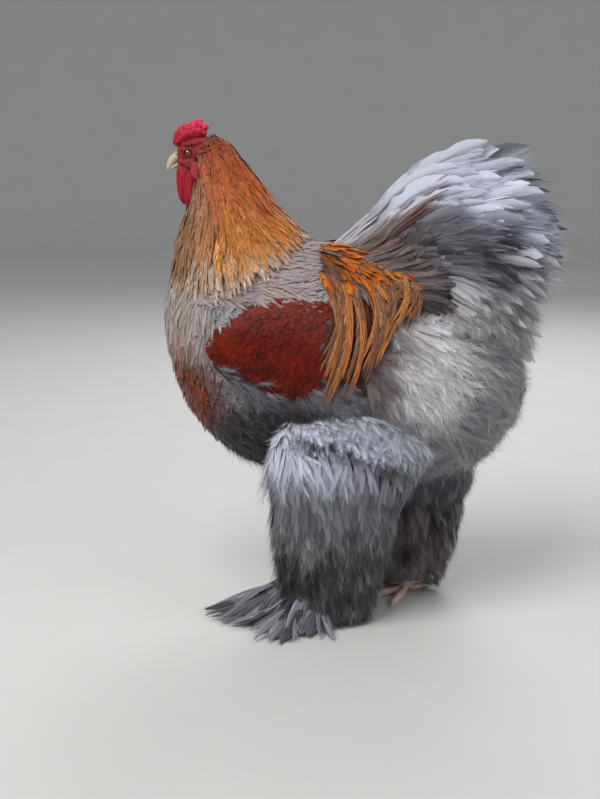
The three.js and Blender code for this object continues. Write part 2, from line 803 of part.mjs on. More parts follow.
function earLobeSolid(side, out = 0) {
  return joined([
    ball(vec(-244, side * 19, 646), [7.5 + out, 4 + out, 12 + out], { lean: -8, across: 8, down: 6 }),
    ball(vec(-245, side * 20.5, 638), [5.5 + out, 3.4 + out, 7 + out], { across: 7, down: 4 }),
  ]);
}

// Assembly: each node is cut clear of what it grows from, and of what lies over it

const COLOURS = {
  slate: { color: 0x77757f, roughness: 0.85 },
  smoke: { color: 0x8d8b96, roughness: 0.85 },
  gold: { color: 0xb98338, roughness: 0.7 },
  amber: { color: 0xb96f1e, roughness: 0.65 },
  mahogany: { color: 0x5a1608, roughness: 0.6 },
  comb: { color: 0xc01f3a, roughness: 0.5 },
  face: { color: 0x98303f, roughness: 0.6 },
  horn: { color: 0xc2a985, roughness: 0.4 },
  iris: { color: 0x6b2a10, roughness: 0.15 },
  toe: { color: 0xdcb3a8, roughness: 0.6 },
};

const bird = new THREE.Group();

function addNode(name, colour, solid) {
  const mesh = largest(solid.asOriginal().simplify(SMOOTHED)).getMesh();
  const geometry = new THREE.BufferGeometry();
  const positions = new Float32Array(mesh.vertProperties);
  geometry.setAttribute("position", new THREE.BufferAttribute(positions, 3));
  geometry.setIndex(new THREE.BufferAttribute(new Uint32Array(mesh.triVerts), 1));
  geometry.computeVertexNormals();
  const material = new THREE.MeshStandardMaterial({ ...COLOURS[colour], metalness: 0 });
  const node = new THREE.Mesh(geometry, material);
  node.name = name;
  bird.add(node);
}

const SIDES = [["left", LEFT], ["right", RIGHT]];
const floor = solidFrom(new THREE.BoxGeometry(1200, 1200, 40).translate(0, 0, -20));
const torsoRoom = torsoSolid(GAP);
const skullRoom = skullSolid(GAP);
const beakRooms = [beakUpper(GAP), beakLower(GAP)];
const eyeRooms = SIDES.map(([, side]) => eyeSolid(side, GAP));
const lappetRooms = SIDES.flatMap(([, side]) => [wattleSolid(side, GAP), earLobeSolid(side, GAP)]);
const wingRooms = SIDES.map(([, side]) => wingSolid(side, GAP));

addNode("torso", "slate", torsoSolid(0));
const inSkull = [...beakRooms, ...eyeRooms, earHollow(LEFT), earHollow(RIGHT)];
addNode("head", "face", cutBy(skullSolid(), inSkull));
addNode("beak_upper", "horn", cutBy(beakUpper(), [nostril(LEFT), nostril(RIGHT)]));
addNode("beak_lower", "horn", cutBy(beakLower(), [beakUpper(GAP)]));
addNode("comb", "comb", cutBy(combSolid(), [skullRoom, beakUpper(GAP), neckCore(GAP)]));

const aroundNeck = [skullRoom, ...lappetRooms, torsoRoom, ...wingRooms, saddleCap(GAP)];
addNode("neck", "gold", cutBy(plumed(neckCore(), hackle()), aroundNeck));
addNode("saddle", "amber", cutBy(saddleSolid(), [torsoRoom, tailCore(GAP)]));
addNode("tail", "smoke", cutBy(plumed(tailCore(0), tailFeathers()), [torsoRoom]));

for (const [name, side] of SIDES) {
  addNode("eye_" + name, "iris", eyeSolid(side));
  addNode("wattle_" + name, "comb", cutBy(wattleSolid(side), [skullRoom, ...beakRooms]));
  addNode("ear_lobe_" + name, "comb", cutBy(earLobeSolid(side), [skullRoom]));
  const aroundWing = [torsoRoom, saddleCap(GAP), thighSolid(LEG[name], GAP)];
  addNode("wing_" + name, "mahogany", cutBy(wingSolid(side), aroundWing));
}

for (const [name, leg] of Object.entries(LEG)) {
  const aroundShank = [thighSolid(leg, GAP), footSolid(leg, GAP), torsoRoom, floor];
  addNode("thigh_" + name, "slate", cutBy(thighSolid(leg), [torsoRoom]));
  addNode("shank_" + name, "smoke", cutBy(shankSolid(leg), aroundShank));
  addNode("foot_" + name, "toe", cutBy(footSolid(leg), [floor]));
  for (const [toeName, toe] of Object.entries(TOES)) {
    addNode("claw_" + toeName + "_" + name, "horn", cutBy(clawSolid(leg, toe), [footSolid(leg, GAP)]));
  }
}

// The origin is on the floor, under the middle of the whole bird.
const extent = new THREE.Box3().setFromObject(bird);
const middle = extent.getCenter(vec(0, 0, 0));
bird.position.set(-middle.x, -middle.y, 0);

export default bird;
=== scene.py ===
import math

import bpy
import numpy as np
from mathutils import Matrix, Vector


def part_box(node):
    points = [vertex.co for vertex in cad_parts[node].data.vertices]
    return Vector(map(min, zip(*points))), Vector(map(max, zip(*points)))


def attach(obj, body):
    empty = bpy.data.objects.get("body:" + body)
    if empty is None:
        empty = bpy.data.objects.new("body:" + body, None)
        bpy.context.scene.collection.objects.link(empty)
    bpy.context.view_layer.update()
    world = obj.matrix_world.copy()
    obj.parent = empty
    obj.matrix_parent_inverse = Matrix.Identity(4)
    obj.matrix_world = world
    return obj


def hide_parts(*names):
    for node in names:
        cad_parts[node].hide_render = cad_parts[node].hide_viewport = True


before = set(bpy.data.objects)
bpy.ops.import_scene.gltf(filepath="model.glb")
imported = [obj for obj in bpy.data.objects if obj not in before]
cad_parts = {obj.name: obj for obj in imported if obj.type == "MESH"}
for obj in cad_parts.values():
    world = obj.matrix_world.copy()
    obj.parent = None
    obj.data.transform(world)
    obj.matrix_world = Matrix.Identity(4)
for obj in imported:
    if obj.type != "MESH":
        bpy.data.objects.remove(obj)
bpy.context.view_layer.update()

# Sizes shared with the solids
LEFT = -1
RIGHT = 1
EYE = np.array([-257.0, 14.6, 670.0])
EYE_RADIUS = 5.2
BODY = {"middle": -36, "reach": 254, "half_width": 124}
WING = {"shoulder": (-234, 418), "tip": (28, 306), "upper": 112, "lower": 48, "rise": 11}
TAIL = {"x": 45, "z": 470, "core": (78, 0, 516), "size": (82, 46, 64)}
HOCK_HEIGHT = 150
ANKLE_HEIGHT = 20
TOE_RADIUS = 6.5
CAMERA = {"place": (-100.0, -1800.0, 690.0), "down": 11.8, "lens": 36 * 1250 / 799}

# The least height above the floor, and the side of one feather's patch in the bake map, whose side is 1
FLOOR_GAP = {"feather": 0.5, "skin": 0.05}
PATCH = 0.003

# Hip, knee, hock and foot are x and y, turn is the foot's angle outwards, and muff the fullness of the leg.
# Fan is the toe feathers' innermost angle, greatest and least length. The shank's feathers start at heights
# up to top. There their roots are sunk by a share and their tips lowered by flat. Bare is the height of the
# lowest tips on the inner side.
LEGS = {
    LEFT: {
        "hip": (-32, 82), "knee": (-32, 92), "hock": (-52, 76), "foot": (-62, 64), "turn": 4, "muff": 1.0,
        "fan": (-14, 205, 84), "top": 224, "sunk": 0.4, "flat": 0, "bare": 8,
    },
    RIGHT: {
        "hip": (34, 80), "knee": (60, 84), "hock": (98, 64), "foot": (64, 44), "turn": 26, "muff": 0.76,
        "fan": (24, 140, 80), "top": 172, "sunk": 1.0, "flat": 7, "bare": 30,
    },
}

# Angle from straight ahead, length, and thickness as a share of TOE_RADIUS
TOES = {
    "inner": (-42, 64, 0.95),
    "middle": (0, 88, 1.1),
    "outer": (38, 72, 0.95),
    "hind": (172, 40, 0.85),
}
SIDE_NAMES = {LEFT: "left", RIGHT: "right"}

# The solids were centred on the floor, so the eyes say how far the bird was moved.
eye_low, eye_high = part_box("eye_left")[0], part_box("eye_right")[1]
eyes_middle = (np.array(eye_low) + np.array(eye_high)) * 500
SHIFT = np.array([eyes_middle[0] - EYE[0], eyes_middle[1], 0.0])


# Small helpers
def rad(angle):
    return np.radians(angle)


def lerp(a, b, t):
    return a + (b - a) * t


def unit(v):
    return v / np.maximum(np.linalg.norm(v, axis=-1, keepdims=True), 1e-9)


def smooth(low, high, value):
    """0 below low, 1 above high, and a smooth step between; also for low above high."""
    t = np.clip((value - low) / (high - low), 0, 1)
    return t * t * (3 - 2 * t)


def through(pairs):
    """A smooth value through (place, value) pairs, level beyond both ends."""
    xs, ys = np.array(list(pairs), float).T
    last = len(xs) - 1
    before = np.maximum(np.arange(last + 1) - 1, 0)
    after = np.minimum(np.arange(last + 1) + 1, last)
    slopes = (ys[after] - ys[before]) / (xs[after] - xs[before])

    def value(place):
        x = np.clip(place, xs[0], xs[-1])
        i = np.clip(np.searchsorted(xs, x, side="right") - 1, 0, last - 1)
        span = xs[i + 1] - xs[i]
        t = (x - xs[i]) / span
        t2, t3 = t**2, t**3
        start = (2 * t3 - 3 * t2 + 1) * ys[i] + (t3 - 2 * t2 + t) * span * slopes[i]
        return start + (3 * t2 - 2 * t3) * ys[i + 1] + (t3 - t2) * span * slopes[i + 1]

    return value


def ripple(points, size, seed):
    """Smooth bumps between about -1 and 1, of the given size, at points."""
    draw = np.random.default_rng(seed)
    ways = unit(draw.normal(size=(14, 3))) * 2 * np.pi / size * draw.uniform(0.7, 1.4, (14, 1))
    return np.sin(points @ ways.T + draw.uniform(0, 6.28, 14)).sum(-1) / 4.5


def linear(red, green, blue):
    """A screen colour in 0 to 255 as the linear colour that a shader takes."""
    c = np.array([red, green, blue]) / 255
    return np.where(c < 0.04045, c / 12.92, ((c + 0.055) / 1.055) ** 2.4)


# Colours
SLATE = linear(96, 95, 106)
DARK_SLATE = linear(46, 44, 50)
CHARCOAL = linear(62, 57, 60)
GREY = linear(158, 152, 150)
PALE_LAVENDER = linear(198, 202, 216)
DOVE = linear(176, 162, 158)
CREAM = linear(216, 190, 154)
TAN = linear(158, 104, 74)
GOLD = linear(206, 126, 30)
ORANGE = linear(190, 86, 6)
RUST = linear(146, 48, 6)
UMBER = linear(84, 46, 28)
MAHOGANY = linear(116, 20, 0)
DARK_MAHOGANY = linear(58, 12, 4)
WARM_WHITE = linear(222, 218, 220)
COMB_RED = linear(196, 30, 66)
WATTLE_RED = linear(148, 0, 22)
FACE_RED = linear(132, 22, 30)
FACE_DARK = linear(74, 18, 22)
LOBE_PINK = linear(162, 66, 70)
HORN = linear(206, 184, 158)
HORN_DARK = linear(128, 100, 80)
TOE_PINK = linear(238, 204, 196)
TOE_DARK = linear(206, 160, 150)


# Surfaces that the coat lies on
class Surface:
    """A smooth surface place(a, b). Turn is 1 or -1, whichever makes its normals look outwards."""

    def __init__(self, place, turn=1, unwrap=None):
        self.place = place
        self.turn = turn
        self.unwrap = unwrap

    def slopes(self, a, b, step=0.4):
        along = (self.place(a + step, b) - self.place(a - step, b)) / (2 * step)
        across = (self.place(a, b + step) - self.place(a, b - step)) / (2 * step)
        return along, across

    def normal(self, a, b):
        along, across = self.slopes(a, b)
        return unit(np.cross(along, across)) * self.turn

    def steps(self, a, b, way):
        """How far a and b change along a way in space, as near as the surface allows."""
        p, q = self.slopes(a, b)
        pp, pq, qq = (p * p).sum(-1), (p * q).sum(-1), (q * q).sum(-1)
        pw, qw = (p * way).sum(-1), (q * way).sum(-1)
        area = np.maximum(pp * qq - pq * pq, 1e-6)
        return (pw * qq - qw * pq) / area, (qw * pp - pw * pq) / area


torso_line = through([(-90, 450), (-33, 424), (0, 393), (35, 360), (90, 333)])
torso_rise = through([(-90, 150), (-33, 140), (0, 140), (22, 152), (50, 142), (90, 135)])
torso_drop = through([(-90, 320), (-58, 268), (-33, 230), (0, 194), (45, 183), (62, 162), (90, 160)])
torso_half = through([(-90, 1.5), (-58, 1.31), (-33, 1.11), (0, 1), (35, 1.03), (60, 1.17), (90, 1.25)])


def torso_place(along, around):
    """Lengthwise from -90 at the breast to 90 under the tail, and round from 0 at the back."""
    small = np.cos(rad(along))
    c, s = np.cos(rad(around)), np.sin(rad(around))
    tall = lerp(torso_drop(along), torso_rise(along), smooth(-0.12, 0.12, c))
    x = BODY["middle"] + BODY["reach"] * np.sin(rad(along))
    y = BODY["half_width"] * torso_half(along) * small * s
    return np.stack([x, y, torso_line(along) + small * tall * c], -1)


torso = Surface(torso_place, 1, lambda a, b: (b % 360 / 360, (a + 90) / 180))

NECK_PLACES = (-26, -12, 0, 33, 55, 80, 100, 120)
neck_x = through(zip(NECK_PLACES, (-241, -233, -228, -211, -199, -184, -170, -158)))
neck_z = through(zip(NECK_PLACES, (687, 676, 664, 602, 556, 505, 464, 424)))
neck_back = through(zip(NECK_PLACES, (16, 28, 37, 64, 88, 110, 116, 118)))
neck_front = through(zip(NECK_PLACES, (9, 14, 25, 55, 82, 108, 122, 126)))
neck_half = through(zip(NECK_PLACES, (14, 22.5, 28, 50, 74, 102, 124, 130)))
neck_core = through([(-12, 1), (6, 0.88), (30, 0.66), (100, 0.62)])


def neck_place(along, around, share=1.0):
    """Lengthwise from -26 at the crown over 0 at the nape to 100 at the breast, and round from 0 behind."""
    step = 2
    ahead = unit(np.stack([curve(along + step) - curve(along - step) for curve in (neck_x, neck_z)], -1))
    c, s = np.cos(rad(around)), np.sin(rad(around))
    deep = lerp(neck_front(along), neck_back(along), smooth(-0.15, 0.15, c)) * share * c
    x = neck_x(along) - ahead[..., 1] * deep
    z = neck_z(along) + ahead[..., 0] * deep
    return np.stack([x, neck_half(along) * share * s, z], -1)


neck = Surface(neck_place, 1, lambda a, b: (b % 360 / 360, (a + 30) / 150))


def thigh_surface(side):
    leg = LEGS[side]
    fullness = lerp(1, leg["muff"], 0.7)
    hip, knee, hock = leg["hip"], leg["knee"], leg["hock"]
    bends = [lerp(np.array(knee), np.array(hock), t) for t in (0.8, 0.4)]
    heights = (140, 160, 182, 212, 246, 282, 315, 345)
    low, high = bends
    xs = (hock[0], hock[0], low[0], high[0], knee[0], knee[0], hip[0], hip[0])
    ys = (hock[1], hock[1], low[1], high[1], knee[1], knee[1] - 3, hip[1], hip[1] - 10)
    x_at = through(zip(heights, xs))
    y_at = through(zip(heights, ys))
    deep_at = through((z, deep * fullness) for z, deep in zip(heights, (60, 78, 94, 104, 113, 108, 84, 40)))
    wide_at = through((z, wide * fullness) for z, wide in zip(heights, (36, 44, 52, 56, 56, 50, 38, 22)))

    def place(height, around):
        x = x_at(height) - deep_at(height) * np.cos(rad(around))
        y = side * (y_at(height) + wide_at(height) * np.sin(rad(around)))
        return np.stack([x, y, height], -1)

    return Surface(place, side, lambda a, b: (b % 360 / 360, (a - 120) / 240))


muff_reach = through([(0, 62), (40, 72), (80, 80), (118, 87), (165, 92)])


def shank_middle(side, height):
    leg = LEGS[side]
    t = (HOCK_HEIGHT - height) / (HOCK_HEIGHT - ANKLE_HEIGHT)
    x = lerp(leg["hock"][0], leg["foot"][0], t)
    y = side * lerp(leg["hock"][1], leg["foot"][1], t)
    return x, y


def shank_surface(side):
    def place(height, around):
        x, y = shank_middle(side, height)
        far = muff_reach(height) * LEGS[side]["muff"]
        outside = np.sin(rad(around))
        wide = lerp(0.58, 0.72, smooth(-0.3, 0.3, outside))
        return np.stack([x - far * np.cos(rad(around)), y + side * far * wide * outside, height], -1)

    return Surface(place, side, lambda a, b: (b % 360 / 360, a / 180))


wing_upper = through(
    [(0, 0), (0.04, 0.3), (0.15, 0.72), (0.35, 1), (0.55, 0.98), (0.75, 0.72), (0.92, 0.3), (1, 0)]
)
wing_lower = through(
    [(0, 0), (0.04, 0.3), (0.15, 0.7), (0.4, 1), (0.65, 0.95), (0.85, 0.6), (0.95, 0.3), (1, 0)]
)


def flank(x, z, side):
    """The lengthwise place and the place round on the torso that a side view shows at x and z."""
    along = np.degrees(np.arcsin(np.clip((x - BODY["middle"]) / BODY["reach"], -0.99, 0.99)))
    high = z - torso_line(along)
    tall = np.where(high > 0, torso_rise(along), torso_drop(along)) * np.cos(rad(along))
    return along, side * np.degrees(np.arccos(np.clip(high / tall, -0.97, 0.97)))


def wing_surface(side):
    """Along from 0 at the shoulder to 100 at the tip, and across from -100 at the lower edge to 100."""
    shoulder, tip = np.array(WING["shoulder"], float), np.array(WING["tip"], float)
    axis = tip - shoulder
    aside = unit(axis)

    def place(along, across):
        u, v = np.clip(along / 100, 0, 1), across / 100
        reach = np.where(v > 0, WING["upper"] * wing_upper(u), WING["lower"] * wing_lower(u)) * v
        x = shoulder[0] + axis[0] * along / 100 - aside[1] * reach
        z = shoulder[1] + axis[1] * along / 100 + aside[0] * reach
        a, b = flank(x, z, side)
        edge = np.clip(np.abs(v), 0, 1)
        swell = 2 + (WING["rise"] - 2) * (1 - edge**4) * np.sqrt(np.sin(np.pi * np.clip(u, 0.01, 0.99)))
        return torso_place(a, b) + torso.normal(a, b) * swell[..., None]

    return Surface(place, -side, lambda a, b: (a / 110, (b + 110) / 220))


def tail_core_place(upwards, around):
    """The cushion under the tail's feathers: from -90 below to 90 above, and round from 0 at the rear."""
    x = TAIL["core"][0] + TAIL["size"][0] * np.cos(rad(upwards)) * np.cos(rad(around))
    y = TAIL["size"][1] * np.cos(rad(upwards)) * np.sin(rad(around))
    z = TAIL["core"][2] + TAIL["size"][2] * np.sin(rad(upwards))
    return np.stack([x, y, z], -1)


tail_core = Surface(tail_core_place, -1, lambda a, b: (b % 360 / 360, (a + 90) / 180))


# Meshes from arrays
def mesh_object(name, points, faces, material, tint=None, uvs=None):
    """A mesh from points in millimetres and arrays of faces with three or four corners."""
    mesh = bpy.data.meshes.new(name)
    places = np.asarray((points + SHIFT) / 1000, np.float32)
    corners = np.concatenate([face.ravel() for face in faces]).astype(np.int32)
    sizes = np.concatenate([np.full(len(face), face.shape[1], np.int32) for face in faces])
    starts = np.concatenate([[0], np.cumsum(sizes)[:-1]]).astype(np.int32)
    mesh.vertices.add(len(places))
    mesh.vertices.foreach_set("co", places.ravel())
    mesh.loops.add(len(corners))
    mesh.loops.foreach_set("vertex_index", corners)
    mesh.polygons.add(len(sizes))
    mesh.polygons.foreach_set("loop_start", starts)
    mesh.polygons.foreach_set("use_smooth", np.ones(len(sizes), bool))
    mesh.update()
    if tint is not None:
        layer = mesh.color_attributes.new("tint", "FLOAT_COLOR", "POINT")
        colours = np.concatenate([tint, np.ones((len(tint), 1))], 1).astype(np.float32)
        layer.data.foreach_set("color", colours.ravel())
    for uv_name, uv in (uvs or {}).items():
        layer = mesh.uv_layers.new(name=uv_name)
        layer.data.foreach_set("uv", uv[corners].astype(np.float32).ravel())
    mesh.validate()
    mesh.materials.append(material)
    made = bpy.data.objects.new(name, mesh)
    bpy.context.scene.collection.objects.link(made)
    return made


def grid_faces(rows, columns, wrapped=False):
    """Quads over rows of points; wrapped joins each row's ends."""
    i = np.arange(rows - 1)[:, None] * columns
    j = np.arange(columns if wrapped else columns - 1)
    k = (j + 1) % columns
    return np.stack([i + j, i + k, i + columns + k, i + columns + j], -1).reshape(-1, 4)


def closed_loft(rings):
    """Points and faces of a closed form through rings of equal count, closed by a fan at each end."""
    count, sides = rings.shape[:2]
    points = np.concatenate([rings.reshape(-1, 3), rings[0].mean(0)[None], rings[-1].mean(0)[None]])
    k = np.arange(sides)
    after = (k + 1) % sides
    first = np.stack([np.full(sides, count * sides), after, k], -1)
    base = (count - 1) * sides
    last = np.stack([np.full(sides, count * sides + 1), base + k, base + after], -1)
    return points, [grid_faces(count, sides, True), np.concatenate([first, last])]


def mid_loft(rows, rings=30, sides=36, sharpen=None):
    """A form in the middle plane through rows of x, z, half width and half height, as rings."""
    rows = np.array(rows, float)
    place = np.linspace(0, 1, len(rows))
    curves = [through(list(zip(place, rows[:, c]))) for c in range(4)]
    t = np.linspace(0, 1, rings)
    x, z, wide, tall = (curve(t) for curve in curves)
    ahead = unit(np.stack([np.gradient(x), np.gradient(z)], -1))
    angle = 2 * np.pi * np.arange(sides) / sides
    w = np.maximum(wide, 0.05)[:, None] * np.sin(angle)
    a = np.maximum(tall, 0.05)[:, None] * np.cos(angle)
    if sharpen is not None:
        w, a = sharpen(w, a, angle)
    px = x[:, None] + ahead[:, 1:2] * a
    pz = z[:, None] - ahead[:, 0:1] * a
    return np.stack([px, w, pz], -1)


def ellipsoid(at, radii, lean=0.0, rings=20, sides=28):
    """Rings of an ellipsoid, leaning by an angle about Y."""
    down = np.linspace(0.02, np.pi - 0.02, rings)[:, None]
    around = 2 * np.pi * np.arange(sides) / sides
    x = radii[0] * np.sin(down) * np.cos(around)
    y = radii[1] * np.sin(down) * np.sin(around)
    z = radii[2] * np.cos(down) + 0 * around
    c, s = math.cos(rad(lean)), math.sin(rad(lean))
    return np.stack([x * c + z * s, y, z * c - x * s], -1) + np.array(at, float)


def tube(path, radii, sides=12):
    """Rings of a tube along a path."""
    path = np.array(path, float)
    ahead = unit(np.gradient(path, axis=0))
    aside = unit(np.cross(ahead, np.array([0.13, 0.21, 0.97])))
    above = np.cross(aside, ahead)
    angle = 2 * np.pi * np.arange(sides) / sides
    radii = np.broadcast_to(np.array(radii, float), (len(path),))[:, None, None]
    spokes = aside[:, None] * np.cos(angle)[:, None] + above[:, None] * np.sin(angle)[:, None]
    return path[:, None] + radii * spokes


def fused(name, ring_sets, voxel, rounds):
    """One closed form round several overlapping ones: points in millimetres, quads and normals."""
    points, faces, start = [], [], 0
    for rings in ring_sets:
        p, f = closed_loft(rings)
        points.append(p)
        faces += [face + start for face in f]
        start += len(p)
    plain = bpy.data.materials.new(name + "_plain")
    rough = mesh_object(name + "_rough", np.concatenate(points), faces, plain)
    remesh = rough.modifiers.new("remesh", "REMESH")
    remesh.mode = "VOXEL"
    remesh.voxel_size = voxel / 1000
    soften = rough.modifiers.new("soften", "SMOOTH")
    soften.iterations = rounds
    soften.factor = 0.5
    made = bpy.data.meshes.new_from_object(rough.evaluated_get(bpy.context.evaluated_depsgraph_get()))
    co = np.empty(len(made.vertices) * 3, np.float32)
    made.vertices.foreach_get("co", co)
    normals = np.empty(len(made.vertices) * 3, np.float32)
    made.vertices.foreach_get("normal", normals)
    quads = np.empty(len(made.loops), np.int32)
    made.loops.foreach_get("vertex_index", quads)
    bpy.data.objects.remove(rough)
    bpy.data.meshes.remove(made)
    bpy.data.materials.remove(plain)
    points = co.reshape(-1, 3).astype(float) * 1000 - SHIFT
    return points, quads.reshape(-1, 4), normals.reshape(-1, 3).astype(float)


# Materials
def new_material(name):
    material = bpy.data.materials.new(name)
    material.use_nodes = True
    tree = material.node_tree
    shader = tree.nodes["Principled BSDF"]
    return material, tree, shader


def link(tree, source, target):
    tree.links.new(source, target)


def settle(node, values):
    """Sets a node's inputs by their names."""
    for key, value in values.items():
        node.inputs[key].default_value = value


def object_places(tree):
    return tree.nodes.new("ShaderNodeTexCoord").outputs["Object"]


def stretched(tree, vector, scale):
    node = tree.nodes.new("ShaderNodeMapping")
    settle(node, {"Scale": scale})
    link(tree, vector, node.inputs["Vector"])
    return node.outputs["Vector"]


def noise_node(tree, vector, scale, detail=3.0, roughness=0.55):
    node = tree.nodes.new("ShaderNodeTexNoise")
    settle(node, {"Scale": scale, "Detail": detail, "Roughness": roughness})
    link(tree, vector, node.inputs["Vector"])
    return node.outputs["Fac"]


def map_range(tree, value, low, high, to_low, to_high):
    node = tree.nodes.new("ShaderNodeMapRange")
    link(tree, value, node.inputs["Value"])
    settle(node, {"From Min": low, "From Max": high, "To Min": to_low, "To Max": to_high})
    return node.outputs["Result"]


def bumped(tree, shader, height, strength, distance):
    node = tree.nodes.new("ShaderNodeBump")
    settle(node, {"Strength": strength, "Distance": distance})
    link(tree, height, node.inputs["Height"])
    link(tree, node.outputs["Normal"], shader.inputs["Normal"])


def tinted(tree, shader, value):
    """Colours a shader by the mesh's own tint, multiplied by a grey value."""
    tint = tree.nodes.new("ShaderNodeAttribute")
    tint.attribute_name = "tint"
    product = tree.nodes.new("ShaderNodeVectorMath")
    product.operation = "MULTIPLY"
    link(tree, tint.outputs["Color"], product.inputs[0])
    link(tree, value, product.inputs[1])
    link(tree, product.outputs["Vector"], shader.inputs["Base Color"])


def plumage(name, roughness, sheen, contrast, specular=0.3):
    """Feathers in the coat's own colours, streaked along the barbs by the Vane map in millimetres."""
    material, tree, shader = new_material(name)
    uv = tree.nodes.new("ShaderNodeUVMap")
    uv.uv_map = "Vane"
    barbs = noise_node(tree, stretched(tree, uv.outputs["UV"], (0.22, 2.2, 1)), 1.0, 2.0)
    value = map_range(tree, barbs, 0.25, 0.75, 1 - contrast, 1 + contrast)
    tinted(tree, shader, value)
    bumped(tree, shader, barbs, 0.5, 0.0006)
    settle(shader, {"Roughness": roughness, "Specular IOR Level": specular})
    settle(shader, {"Sheen Weight": sheen, "Sheen Roughness": 0.4})
    return material


def flesh(name, roughness, grain, bump, coat=0.0):
    """Bare skin: pimpled, with uneven colour and a little light passing through."""
    material, tree, shader = new_material(name)
    places = object_places(tree)
    fine = noise_node(tree, places, grain)
    cells = tree.nodes.new("ShaderNodeTexVoronoi")
    settle(cells, {"Scale": grain * 0.9})
    link(tree, places, cells.inputs["Vector"])
    value = map_range(tree, fine, 0.3, 0.7, 0.78, 1.2)
    tinted(tree, shader, value)
    height = map_range(tree, cells.outputs["Distance"], 0, 0.8, 1, 0)
    bumped(tree, shader, height, 0.7, bump)
    settle(shader, {"Roughness": roughness, "Specular IOR Level": 0.28})
    settle(shader, {"Subsurface Weight": 0.12, "Subsurface Scale": 0.003, "Subsurface Radius": (1, 0.3, 0.2)})
    settle(shader, {"Coat Weight": coat, "Coat Roughness": 0.3})
    return material


def horn(name):
    """Beak and claws: pale horn, streaked lengthwise."""
    material, tree, shader = new_material(name)
    streaks = noise_node(tree, stretched(tree, object_places(tree), (1, 3, 2.5)), 260, 4.0)
    value = map_range(tree, streaks, 0.3, 0.7, 0.75, 1.15)
    tinted(tree, shader, value)
    bumped(tree, shader, streaks, 0.25, 0.0003)
    settle(shader, {"Roughness": 0.36, "Specular IOR Level": 0.5})
    return material


def wet_eye(name):
    """The eye: a dark pupil in a red-brown iris, under a clear wet coat."""
    material, tree, shader = new_material(name)
    specks = noise_node(tree, object_places(tree), 1400)
    value = map_range(tree, specks, 0.3, 0.7, 0.7, 1.25)
    tinted(tree, shader, value)
    settle(shader, {"Roughness": 0.25, "Coat Weight": 1.0, "Coat Roughness": 0.03})
    return material


satin_vanes = plumage("satin_vanes", 0.5, 0.0, 0.32, 0.2)
wing_vanes = plumage("wing_vanes", 0.5, 0.0, 0.25, 0.22)
soft_vanes = plumage("soft_vanes", 0.62, 0.35, 0.22, 0.25)
downy_vanes = plumage("downy_vanes", 0.8, 0.5, 0.18, 0.1)
bare_skin = flesh("bare_skin", 0.5, 900, 0.0006)
comb_skin = flesh("comb_skin", 0.46, 700, 0.0008, 0.08)
beak_horn = horn("beak_horn")
eye_gloss = wet_eye("eye_gloss")


# Feathers
POINTED = through([(0, 0.35), (0.15, 0.7), (0.4, 1), (0.7, 0.85), (0.9, 0.42), (1, 0.04)])
ROUNDED = through([(0, 0.3), (0.2, 0.7), (0.5, 0.95), (0.8, 1), (0.93, 0.75), (1, 0.28)])
BROAD = through([(0, 0.16), (0.15, 0.42), (0.4, 0.78), (0.7, 1), (0.88, 0.93), (0.97, 0.6), (1, 0.25)])
LANCET = through([(0, 0.2), (0.15, 0.5), (0.4, 0.85), (0.65, 1), (0.84, 0.86), (0.95, 0.5), (1, 0.08)])


class Coat:
    """Feathers that are gathered into one mesh."""

    def __init__(self, name, material):
        self.name = name
        self.material = material
        self.points, self.quads, self.triangles = [], [], []
        self.tints, self.vane_maps, self.bake_maps = [], [], []
        self.count = 0

    def put(self, points, faces, tint, vane, bake):
        (self.quads if faces.shape[1] == 4 else self.triangles).append(faces + self.count)
        points = points.reshape(-1, 3).copy()
        points[:, 2] = np.maximum(points[:, 2], FLOOR_GAP["feather"])
        self.points.append(points)
        self.tints.append(tint.reshape(-1, 3))
        self.vane_maps.append(vane.reshape(-1, 2))
        self.bake_maps.append(bake.reshape(-1, 2))
        self.count += len(self.points[-1])

    def made(self, slot, stands_for=()):
        faces = [np.concatenate(f) for f in (self.quads, self.triangles) if f]
        uvs = {"OFBake": np.concatenate(self.bake_maps), "Vane": np.concatenate(self.vane_maps)}
        tint = np.clip(np.concatenate(self.tints), 0, 1)
        piece = mesh_object(self.name, np.concatenate(self.points), faces, self.material, tint, uvs)
        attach(piece, "root")
        if stands_for:
            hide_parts(*stands_for)


def painted(draw, s, c, rim_share, *, base, streak=None, streak_width=0.3, rim=None, root=0.62, vary=0.1):
    """Colours at s from root to tip and c across: a streak down the middle, a rim and a darker root."""

    def spread(colour):
        return colour.reshape((len(base),) + (1,) * (s.ndim - 1) + (3,))

    tone = 1 + vary * draw.normal(size=len(base))
    tint = np.broadcast_to(spread(base * tone[:, None]), (len(base),) + np.broadcast(s, c).shape[1:] + (3,))
    if streak is not None:
        share = np.exp(-((c / streak_width) ** 2)) * smooth(1.02, 0.72, s)
        tint = lerp(tint, spread(streak), share[..., None])
    if rim is not None:
        tint = lerp(tint, spread(rim), rim_share[..., None])
    return tint * lerp(root, 1.0, smooth(0, 0.55, s))[..., None]


